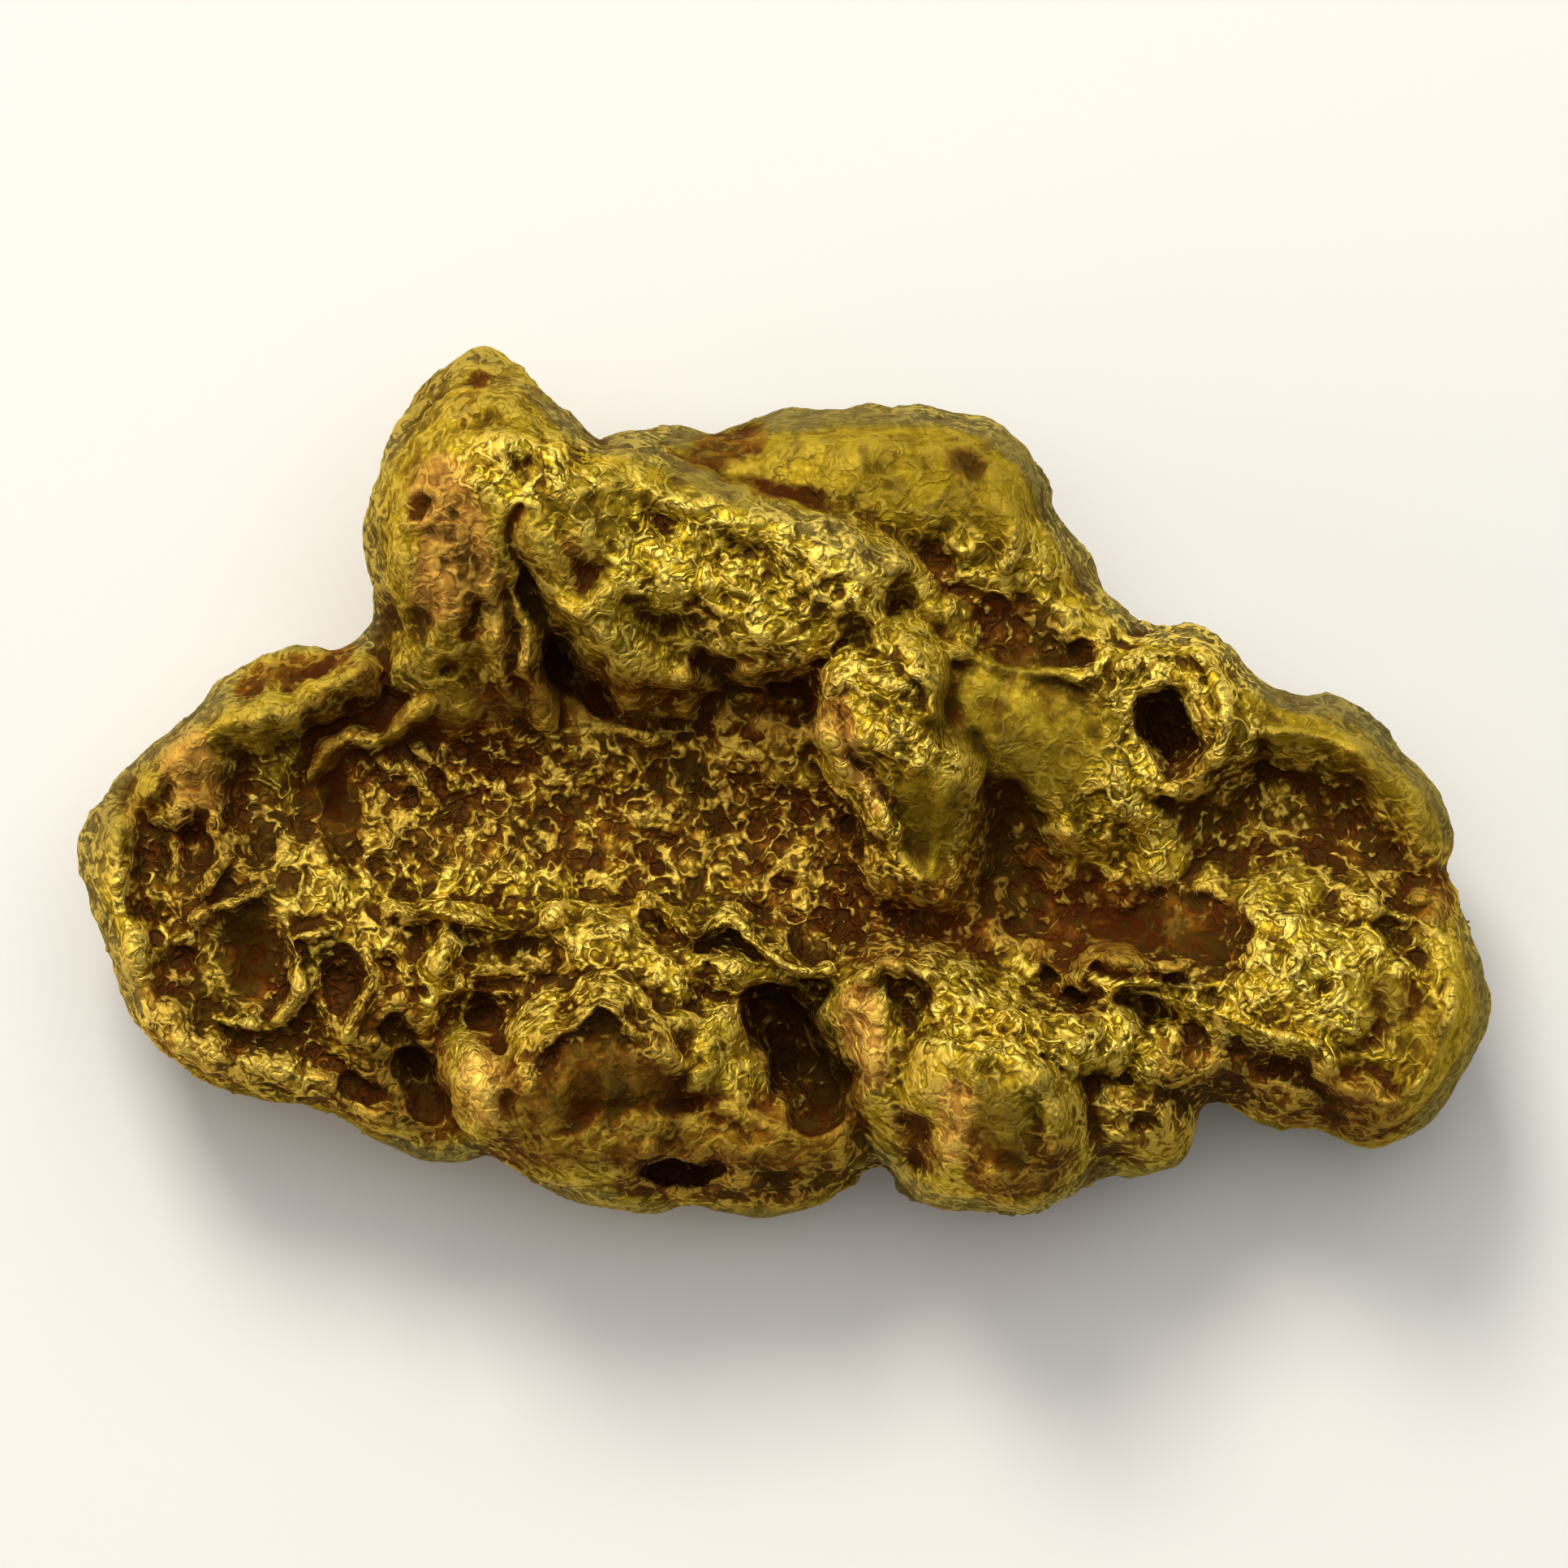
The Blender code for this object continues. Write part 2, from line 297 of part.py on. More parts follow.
def relief(forms, level, x, y):
    """The height over each point (x, y) of a face that starts level and takes its forms in order."""
    z = np.full(len(x), level)
    for form in forms.values():
        distance, height = distance_to_line(open_curve(form.line), x, y)
        slope = form.change * (distance / form.reach) ** form.power
        if form.kind == "crest":
            z = filleted_max(z, height - slope, form.blend)
        else:
            z = -filleted_max(-z, -height - slope, form.blend)
    return z


def swayed(x, y):
    """The points moved aside by a slow random wander, which bends every form that is looked up at them."""
    noise.seed_set(SWAY_SEED)
    wander = np.array([
        noise.turbulence_vector((px / SWAY_LENGTH, py / SWAY_LENGTH, 0.0), 3, False)[:2]
        for px, py in zip(x, y)
    ])
    return x + SWAY * wander[:, 0], y + SWAY * wander[:, 1]


def rounding(inset, radius):
    """Share of its full height that a face has reached at this distance in from the rim."""
    return np.sqrt(1 - (1 - np.clip(inset / radius, 0, 1)) ** 2)


def lump_points(sphere):
    """Where each point of a unit sphere goes on the nugget, in millimetres."""
    rim = closed_curve([p for stretch in RIM.values() for p in stretch], RIM_STEPS)
    rim_angle = np.arctan2(rim[:, 1] - MIDDLE[1], rim[:, 0] - MIDDLE[0])
    order = np.argsort(rim_angle)
    angle = np.arctan2(sphere[:, 1], sphere[:, 0])
    rim_reach = np.hypot(rim[:, 0] - MIDDLE[0], rim[:, 1] - MIDDLE[1])
    reach = np.interp(angle, rim_angle[order], rim_reach[order], period=math.tau)
    widest = np.interp(angle, rim_angle[order], rim[order, 2], period=math.tau)
    share = np.hypot(sphere[:, 0], sphere[:, 1])
    x = MIDDLE[0] + share * reach * np.cos(angle)
    y = MIDDLE[1] + share * reach * np.sin(angle)
    inset, _ = distance_to_line(np.vstack([rim, rim[:1]]), x, y)
    sway = swayed(x, y)
    upper = relief({**UPPER_MASSES, **UPPER_HOLLOWS, **UPPER_RIDGES}, FLOOR_OF_BASIN, *sway)
    back = BACK_DATUM - relief(BACK, BACK_LEVEL, *sway)
    z = np.where(
        sphere[:, 2] >= 0,
        widest + (upper - widest) * rounding(inset, UPPER_ROUNDING),
        widest - (widest - back) * rounding(inset, UNDER_ROUNDING),
    )
    return np.column_stack([x, y, z])


def points_of(mesh):
    co = np.empty(len(mesh.vertices) * 3)
    mesh.vertices.foreach_get("co", co)
    return co.reshape(-1, 3)


def move_points(mesh, points):
    mesh.vertices.foreach_set("co", points.astype(np.float32).ravel())
    mesh.update()


def evaluated_mesh(obj):
    """The object's mesh with its modifiers worked out."""
    return bpy.data.meshes.new_from_object(obj.evaluated_get(bpy.context.evaluated_depsgraph_get()))


def gold():
    material = bpy.data.materials.new("native_gold")
    material.use_nodes = True
    shader = material.node_tree.nodes["Principled BSDF"]
    shader.inputs["Base Color"].default_value = GOLD_COLOUR
    shader.inputs["Metallic"].default_value = 1.0
    shader.inputs["Roughness"].default_value = GOLD_ROUGHNESS
    return material


def make_nugget(collection):
    bpy.ops.mesh.primitive_ico_sphere_add(subdivisions=8, radius=1.0)
    nugget = bpy.context.object
    nugget.name = "gold_nugget"
    for holder in list(nugget.users_collection):
        holder.objects.unlink(nugget)
    collection.objects.link(nugget)
    move_points(nugget.data, lump_points(points_of(nugget.data)) * MM)

    lumps = bpy.data.textures.new("lumps", "CLOUDS")
    lumps.noise_scale = LUMP_SIZE * MM
    lumps.noise_depth = 1
    uneven = nugget.modifiers.new("uneven_surface", "DISPLACE")
    uneven.texture = lumps
    uneven.strength = LUMP_RISE * MM
    uneven.mid_level = 0.5
    even = nugget.modifiers.new("even_faces", "REMESH")
    even.mode = "VOXEL"
    even.voxel_size = VOXEL * MM
    soften = nugget.modifiers.new("soften", "SMOOTH")
    soften.factor = 0.5
    soften.iterations = 1
    faces = 2 * len(evaluated_mesh(nugget).polygons)
    thin_out = nugget.modifiers.new("fewer_faces", "DECIMATE")
    thin_out.ratio = MOST_TRIANGLES / faces
    nugget.modifiers.new("triangles", "TRIANGULATE")
    finished = evaluated_mesh(nugget)
    nugget.modifiers.clear()
    nugget.data = finished

    points = points_of(finished)
    middle = (points.min(0) + points.max(0)) / 2
    points[:, :2] -= middle[:2]
    points *= LENGTH * MM / np.ptp(points[:, 0])
    points[:, 2] = np.maximum(points[:, 2], 0.0)  # the feet are worn flat
    move_points(finished, points)
    finished.shade_smooth()
    finished.materials.append(gold())
    return nugget


def main():
    for obj in list(bpy.data.objects):
        bpy.data.objects.remove(obj)
    collection = bpy.data.collections.new("gold_nugget")
    bpy.context.scene.collection.children.link(collection)
    make_nugget(collection)


main()
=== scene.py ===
"""A gold nugget lying on its broad back on a pale table, seen from straight above.

The nugget's surface starts as a sphere drawn out to the rim. Its upper and lower faces take their
heights from maps, which are built up from crests and hollows. Then the whole surface is crinkled, and
its hollows are stained. Lengths are in millimetres until the piece is finished.
"""

import math
from collections import namedtuple

import bpy
import numpy as np
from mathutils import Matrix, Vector, noise


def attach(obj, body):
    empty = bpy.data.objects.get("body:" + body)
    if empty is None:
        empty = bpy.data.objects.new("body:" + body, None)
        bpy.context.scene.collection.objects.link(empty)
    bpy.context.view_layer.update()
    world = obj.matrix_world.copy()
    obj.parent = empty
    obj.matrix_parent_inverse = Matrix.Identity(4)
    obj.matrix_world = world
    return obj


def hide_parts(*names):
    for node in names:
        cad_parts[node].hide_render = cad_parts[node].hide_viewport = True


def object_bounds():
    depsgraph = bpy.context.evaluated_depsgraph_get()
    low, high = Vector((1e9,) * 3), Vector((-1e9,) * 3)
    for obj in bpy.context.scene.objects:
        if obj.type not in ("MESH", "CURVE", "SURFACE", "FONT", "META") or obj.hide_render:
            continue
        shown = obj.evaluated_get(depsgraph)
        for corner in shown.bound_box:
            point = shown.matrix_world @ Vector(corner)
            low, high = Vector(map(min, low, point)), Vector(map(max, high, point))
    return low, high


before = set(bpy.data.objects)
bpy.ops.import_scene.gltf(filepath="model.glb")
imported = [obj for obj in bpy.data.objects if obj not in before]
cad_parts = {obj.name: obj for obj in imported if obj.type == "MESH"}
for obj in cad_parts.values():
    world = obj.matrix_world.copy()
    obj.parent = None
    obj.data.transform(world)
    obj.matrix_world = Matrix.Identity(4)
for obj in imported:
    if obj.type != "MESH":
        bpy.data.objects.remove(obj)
CAD_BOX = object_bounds()

MM = 0.001  # metres in a millimetre
MIDDLE = (2.0, -1.0)  # every ray from here meets the rim once
RIM_STEPS = 8  # points added between two points of the rim
UPPER_ROUNDING = 1.25  # how far in from the rim the upper face has reached its full height
UNDER_ROUNDING = 3.4  # the same for the back
FLOOR_OF_BASIN = 5.9  # height of the upper face where no form reaches
BACK_DATUM = 6.0  # the back's forms give depths below this height
BACK_LEVEL = 4.9  # depth of the back where no form reaches
FACES_MEET = (3.8, 5.2)  # between these heights the back's finish gives way to the upper face's

LINE_STEPS = 5  # straight pieces a form's line has between two of its points
NEAR_POWER = -6.0  # a line's height is mostly that of its nearest piece
NEAR_BLUNTING = 0.03
FORM_DROP = 9  # a form is worked out as far as it falls by this
FORM_MARGIN = 1.0  # and so much further, for the wander of its line
SMALL_MARGIN = 0.4  # the same for marks, rings and painted zones
MARK_SPREAD = 3  # a mark is worked out as far as this many half widths
RING_SPREAD = 2.2  # the same for a ring
ZONE_SPREAD = 1.4  # and for a painted zone, in reaches
RING_WIDTH = 0.28  # of a ring's wall, as a share of the pit's half width
RING_FLOOR = 0.72  # how far out the pit's floor goes, as a share of it
ZONE_FULL = 0.55  # a painted zone is whole up to this share of its reach
ZONE_END = 1.3  # and ends at this share

SEED = 5  # for every random draw
SWAY = 0.2  # how far the forms' lines wander to either side
SWAY_LENGTH = 1.7  # the length of the widest wander
SWAY_OCTAVES = 3
SHIVER = 0.08  # a quicker wander on top of it
SHIVER_LENGTH = 0.55
WEAR = 0.7  # how unevenly the narrow ridges are battered down
WEAR_LENGTH = 0.75
WORN_REACH = 0.3  # ridges wider than this are battered less
MARK_WEAR = 1.4  # how unevenly the marks are worn

LUMP_SIZE = 1.9
LUMP_RISE = 0.55  # from the bottom of a dent to the top of a lump
BEND, BEND_LENGTH = 0.22, 0.7  # how far the crinkles are bent aside
LONG_FOLD, SHORT_FOLD, PLATE, GRAIN, SWELL = 0.95, 0.5, 0.5, 0.17, 0.8  # their lengths
BACK_PATCH = 3.1  # the length of the rougher and smoother, cleaner and dirtier patches of the back
HOLLOW_STEPS = (4, 24, 120)  # rounds of smoothing that show the fine, middling and deep hollows
RIM_REFLECTION_BAND = 0.6  # how far in from the rim the gold is painted pale, a painted reflection of the pale surroundings with some rubbing
RIM_REFLECTION_HEIGHTS = (2.0, 4.0)  # the band fades out between these, down the flanks

MAP_STEP = 0.05  # between two points of a height map
COARSE_STEP = 0.2  # between two points of the map of distances from the rim
MAP_LOW = np.array([-19.4, -12.4])
MAP_HIGH = np.array([19.4, 12.4])
SPHERE_LEVEL = 9
VOXEL = 0.088
MOST_TRIANGLES = 198000
LEAF_RISE = 0.16  # how strongly the small folds of the surface stand out

PICTURE_WIDTH = 39.95  # what the camera takes in at the height of its focus
FOCUS_HEIGHT = 4.5

YELLOW_GOLD = (0.78, 0.54, 0.035, 1.0)
OLIVE_GOLD = (0.56, 0.38, 0.018, 1.0)
WORN_GOLD = (0.31, 0.215, 0.012, 1.0)
# painted highlight on the raised folds
FOLD_HIGHLIGHT_GOLD = (0.95, 0.72, 0.14, 1.0)
# tarnished gold, also painted shade where the stain map paints shade
TARNISHED_GOLD = (0.44, 0.25, 0.025, 1.0)
# painted warm reflection of the light from the west, partly a copper tint
COPPERY_WARM_LIT_GOLD = (0.58, 0.30, 0.055, 1.0)
# painted pale reflection of the surroundings on the rim and on slopes turned away, partly rubbed gold
RUBBED_REFLECTION_GOLD = (0.18, 0.15, 0.06, 1.0)
# stain colours, which also paint shade where the stain map paints shade
IRON_STAIN = (0.085, 0.018, 0.002, 1.0)
OCHRE_STAIN = (0.21, 0.07, 0.005, 1.0)
UMBER_STAIN = (0.085, 0.05, 0.005, 1.0)
DARK_OLIVE = (0.16, 0.10, 0.008, 1.0)
EDGE_TINT = (0.85, 0.68, 0.32, 1.0)
# painted shade in the creases and beside the folds, partly dirt
CREASE_SHADE_AND_DIRT = (0.045, 0.018, 0.003, 1.0)
SOIL = (0.035, 0.009, 0.002, 1.0)


# The rim seen from above, clockwise from the north peak: x, y and the height of the widest line there.
RIM = {
    "north peak": [(-7.6, 10.95, 6.2), (-6.8, 10.7, 6.4), (-5.9, 9.8, 6.4)],
    "north notch": [(-5.2, 9.2, 6.2), (-4.75, 8.7, 6.0), (-4.3, 8.75, 5.6)],
    "north dome": [(-3.8, 8.95, 5.4), (-2.9, 9.0, 5.2), (-2.0, 8.93, 5.2), (-1.1, 9.02, 5.2),
        (-0.4, 9.3, 5.2), (0.6, 9.4, 5.2), (2.8, 9.55, 5.2), (4.0, 9.52, 5.2), (5.2, 9.15, 5.0),
        (6.2, 8.45, 5.0), (6.8, 7.6, 4.8), (6.95, 6.95, 4.8)],
    "north-east slope": [(7.6, 5.8, 4.6), (8.05, 5.0, 4.6), (8.7, 4.5, 4.6), (9.3, 4.0, 4.8)],
    "crater shoulder": [(9.9, 4.0, 5.2), (10.7, 3.9, 5.4), (11.5, 3.4, 5.4), (12.0, 2.8, 5.2)],
    "east shoulder": [(12.7, 2.4, 5.0), (13.3, 2.25, 5.0), (14.1, 2.23, 4.8), (15.1, 1.65, 4.8),
        (16.1, 0.5, 4.8), (16.8, -0.4, 4.6), (17.08, -1.3, 4.6)],
    "east end": [(17.0, -2.2, 4.4), (17.25, -2.9, 4.4), (17.7, -4.2, 4.4), (18.0, -5.4, 4.4),
        (17.8, -6.7, 4.4), (17.2, -7.7, 4.2), (16.5, -8.7, 4.0), (15.6, -9.2, 3.8), (14.8, -9.3, 3.8),
        (13.7, -8.87, 3.8), (12.7, -8.82, 3.8), (12.0, -8.55, 4.0)],
    "south-east notch": [(11.5, -8.18, 4.2), (11.05, -8.08, 4.4), (10.72, -8.25, 4.4)],
    "south-east lobe": [(10.5, -8.9, 4.2), (10.1, -9.5, 4.0), (9.4, -9.87, 3.8), (8.5, -9.93, 3.8)],
    "knob": [(7.9, -10.2, 4.0), (7.2, -10.6, 4.2), (6.3, -10.95, 4.2), (5.0, -10.92, 4.2),
        (3.8, -10.8, 4.0), (3.1, -10.4, 3.8)],
    "south notch": [(2.7, -9.95, 3.8), (2.4, -9.75, 3.8), (2.1, -9.95, 3.6)],
    "south lip": [(1.6, -10.4, 3.4), (0.6, -10.9, 3.2), (-0.6, -10.98, 3.2), (-1.6, -10.82, 3.2),
        (-2.6, -10.68, 3.2), (-3.9, -10.85, 3.4), (-5.2, -10.75, 3.6), (-6.4, -10.2, 3.8)],
    "south-west notch": [(-7.05, -9.65, 4.0), (-7.5, -9.45, 4.0)],
    "south-west flank": [(-8.2, -9.62, 3.8), (-9.2, -9.6, 3.6), (-10.3, -9.2, 3.6), (-11.6, -8.5, 3.8),
        (-12.5, -8.18, 4.0), (-13.9, -7.95, 4.0)],
    "west end": [(-15.2, -7.35, 4.0), (-16.3, -6.3, 4.2), (-17.1, -4.7, 4.4), (-17.6, -3.3, 4.6),
        (-17.95, -1.9, 4.6), (-17.6, -0.7, 4.6), (-16.6, 0.6, 4.6), (-15.5, 1.55, 4.6)],
    "north-west shoulder": [(-14.9, 2.0, 4.6), (-14.2, 2.75, 4.6), (-13.2, 3.3, 4.6), (-12.1, 3.45, 4.6),
        (-11.4, 3.42, 4.8)],
    "north-west corner": [(-10.8, 3.75, 5.0), (-10.4, 4.2, 5.2), (-10.42, 5.0, 5.4)],
    "peak's west wall": [(-10.6, 6.0, 5.6), (-10.45, 7.2, 5.8), (-10.15, 8.4, 6.0), (-9.4, 9.8, 6.0),
        (-8.5, 10.65, 6.2)],
}

# A form follows a line of (x, y, z). A crest falls away from its line and a hollow rises from it, by
# change where it is reach away, and it is as square-shouldered as its power is high. It joins what was
# there before it with a fillet as wide as its blend.
Form = namedtuple("Form", "kind line reach change power blend deepest")


def crest(line, reach, change, power=2.0, blend=0.6):
    return Form("crest", line, reach, change, power, blend, None)


def ridge(line, reach, change, blend=0.3):
    """A narrow crest."""
    return crest(line, reach, change, 2.0, blend)


def hollow(line, reach, change, deepest, power=2.0, blend=0.4):
    """A hollow also rounds out where it comes near its deepest below what was there before it."""
    return Form("hollow", line, reach, change, power, blend, deepest)


def named(kind, rows):
    """The rows of a table, each as a thing of its kind."""
    return {name: kind(*row) for name, row in rows.items()}


UPPER_MASSES = {
    "north peak": crest([(-8.6, 6.4, 10.2), (-7.3, 7.3, 11.6), (-5.6, 7.1, 11.5)], 2.1, 1.9, 3.4),
    "back shoulder": crest([(-8.9, 8.6, 8.6), (-7.6, 9.8, 8.6), (-6.4, 9.4, 8.6)], 1.5, 2.0),
    "west column": crest([(-8.1, 6.4, 10.3), (-7.9, 4.6, 9.4), (-7.9, 3.0, 8.2)], 2.0, 2.4, 2.2),
    "tongue": crest([(-5.4, 6.9, 11.2), (-5.3, 5.6, 10.9), (-4.6, 4.4, 10.4), (-3.8, 3.5, 9.7),
        (-3.1, 2.5, 8.8)], 1.15, 1.3, 2.8),
    "tongue's shoulder": crest([(-4.4, 7.0, 11.0), (-3.7, 6.0, 10.8), (-3.2, 5.2, 10.5)], 1.1, 1.2, 2.4),
    "brow": crest([(-2.2, 5.3, 10.6), (-0.6, 4.7, 10.3), (1.4, 5.2, 10.3)], 1.7, 1.6, 3.4),
    "brow's second tip": crest([(-2.5, 3.8, 9.6), (-2.3, 2.6, 8.6)], 0.5, 0.9),
    "long ridge": crest([(-4.6, 8.0, 10.8), (-2.6, 7.0, 10.9), (0.0, 6.2, 10.8), (2.7, 5.5, 10.3)],
        0.8, 1.5),
    "dome": crest([(-2.5, 7.9, 8.0), (1.5, 7.6, 8.9), (4.6, 7.4, 9.0), (5.2, 5.8, 8.7)], 2.3, 1.8, 2.6),
    "dome's foot": crest([(4.6, 4.3, 8.1), (6.5, 4.4, 7.9), (7.9, 3.7, 7.8)], 1.5, 1.6),
    "valley's floor": crest([(3.1, 5.3, 9.0), (3.7, 4.7, 8.8), (4.2, 4.0, 8.6)], 0.8, 1.2),
    "column": crest([(2.6, 2.8, 10.1), (2.8, 1.6, 10.1), (3.25, 0.4, 9.7), (3.6, -0.7, 9.0),
        (3.6, -1.8, 8.1)], 1.4, 1.2, 3.2, 0.4),
    "saddle": crest([(4.9, 2.2, 8.5), (6.0, 1.9, 8.3), (7.4, 1.4, 8.15), (8.6, 0.6, 8.0)],
        2.0, 1.2, 2.0, 1.2),
    "crater shoulder": crest([(8.7, 2.2, 8.6), (9.9, 2.4, 8.8), (10.9, 1.6, 8.7), (9.8, 0.6, 8.2)],
        1.5, 1.8, 2.6),
    "east field": crest([(9.3, -0.7, 7.4), (9.5, -1.9, 6.8)], 0.9, 1.3, 2.2),
    "east shore": crest([(11.2, -2.9, 7.0), (13.0, -2.7, 7.0), (14.8, -2.9, 7.0)], 0.9, 1.2),
    "east rim": crest([(11.6, 1.9, 8.3), (13.0, 1.3, 8.1), (14.6, 0.6, 8.0), (15.9, -0.5, 7.8),
        (16.4, -1.9, 7.3)], 0.9, 1.6),
    "plateau": crest([(11.4, -4.5, 8.0), (12.4, -4.7, 8.5), (13.4, -5.1, 8.6)], 2.1, 1.5, 2.4),
    "far east rim": crest([(16.6, -3.2, 7.4), (16.9, -5.0, 7.9), (16.4, -6.6, 7.9), (15.4, -7.9, 7.6)],
        1.1, 1.6),
    "east folds": crest([(14.6, -4.0, 7.8), (15.4, -5.4, 7.9), (15.6, -6.6, 7.6)], 1.4, 1.2),
    "east corner": crest([(14.2, -7.0, 7.5), (15.2, -6.8, 7.5)], 0.9, 1.2),
    "south-east flank": crest([(9.4, -7.0, 7.4), (12.0, -7.4, 7.0), (14.4, -8.4, 6.6)], 1.2, 1.6),
    "south-east lobe": crest([(8.2, -8.4, 7.3), (9.4, -8.7, 7.2)], 1.4, 2.0),
    "knob": crest([(4.8, -7.35, 10.0), (5.3, -7.6, 10.1), (5.7, -8.6, 9.6), (5.8, -9.5, 8.8)],
        1.6, 1.4, 2.8),
    "knob's flank": crest([(4.3, -7.8, 9.2), (4.5, -9.0, 8.8), (4.8, -9.7, 7.9)], 1.0, 1.3, 2.4),
    "cave's east wall": crest([(2.2, -5.8, 8.6), (2.5, -7.2, 8.3), (3.0, -8.8, 7.4)], 1.0, 1.9, 2.6),
    "south bridge": crest([(2.4, -4.9, 8.5), (4.4, -5.5, 8.6), (6.4, -6.5, 8.9), (8.2, -6.4, 8.2)],
        1.0, 1.6, 2.6),
    "hook ridge": crest([(8.0, -4.9, 7.7), (9.2, -4.8, 7.8), (10.6, -5.0, 8.0)], 0.8, 1.2),
    "south-west bulb": crest([(-7.7, -7.4, 8.8), (-7.0, -8.2, 8.3)], 1.2, 2.2, 2.6),
    "roof": crest([(-6.0, -7.3, 9.1), (-5.0, -6.7, 9.45), (-4.0, -6.8, 9.3)], 1.3, 1.2, 2.6),
    "roof's slope": crest([(-6.4, -8.7, 7.8), (-5.0, -8.6, 8.1), (-3.8, -8.4, 8.0)], 1.3, 1.2, 2.2),
    "roof's east end": crest([(-2.7, -7.0, 8.0), (-1.9, -7.2, 7.8), (-1.3, -7.9, 7.5)], 1.2, 1.2, 2.2, 0.8),
    "frame": crest([(-2.6, -5.7, 7.6), (-1.7, -6.2, 7.5)], 0.9, 1.0, 2.2, 0.8),
    "south ledge": crest([(-6.2, -9.3, 6.8), (-4.8, -9.4, 7.0), (-3.0, -8.9, 7.4), (-0.6, -8.8, 7.4),
        (1.2, -9.1, 6.8)], 0.9, 1.4, 3.0),
    "south lip": crest([(-5.6, -10.1, 4.8), (-3.0, -10.3, 4.4), (0.6, -10.3, 4.6)], 0.5, 1.0),
    "middle ground": crest([(-8.6, -4.6, 7.3), (-5.0, -4.2, 7.4), (-2.6, -4.8, 7.6), (-0.4, -4.4, 7.3)],
        1.2, 1.3),
    "west crest": crest([(-16.2, -0.2, 6.9), (-15.2, 0.9, 7.3), (-13.7, 1.6, 7.8), (-12.0, 2.0, 7.9),
        (-10.8, 2.9, 8.0)], 0.62, 1.4, 2.2),
    "west panel": crest([(-15.0, 0.5, 7.3), (-14.9, -0.5, 6.9)], 0.9, 1.2, 3.0),
    "west rim": crest([(-16.9, -1.0, 6.9), (-17.1, -2.8, 7.0), (-16.6, -4.8, 7.1), (-15.6, -6.3, 7.1),
        (-13.9, -7.2, 6.8), (-11.6, -7.8, 6.6), (-9.6, -8.9, 6.3)], 0.7, 1.4, 2.4),
    "west field": crest([(-14.2, -2.6, 6.7), (-11.6, -3.6, 7.0), (-10.2, -5.6, 6.9)], 1.9, 1.2, 2.6),
}

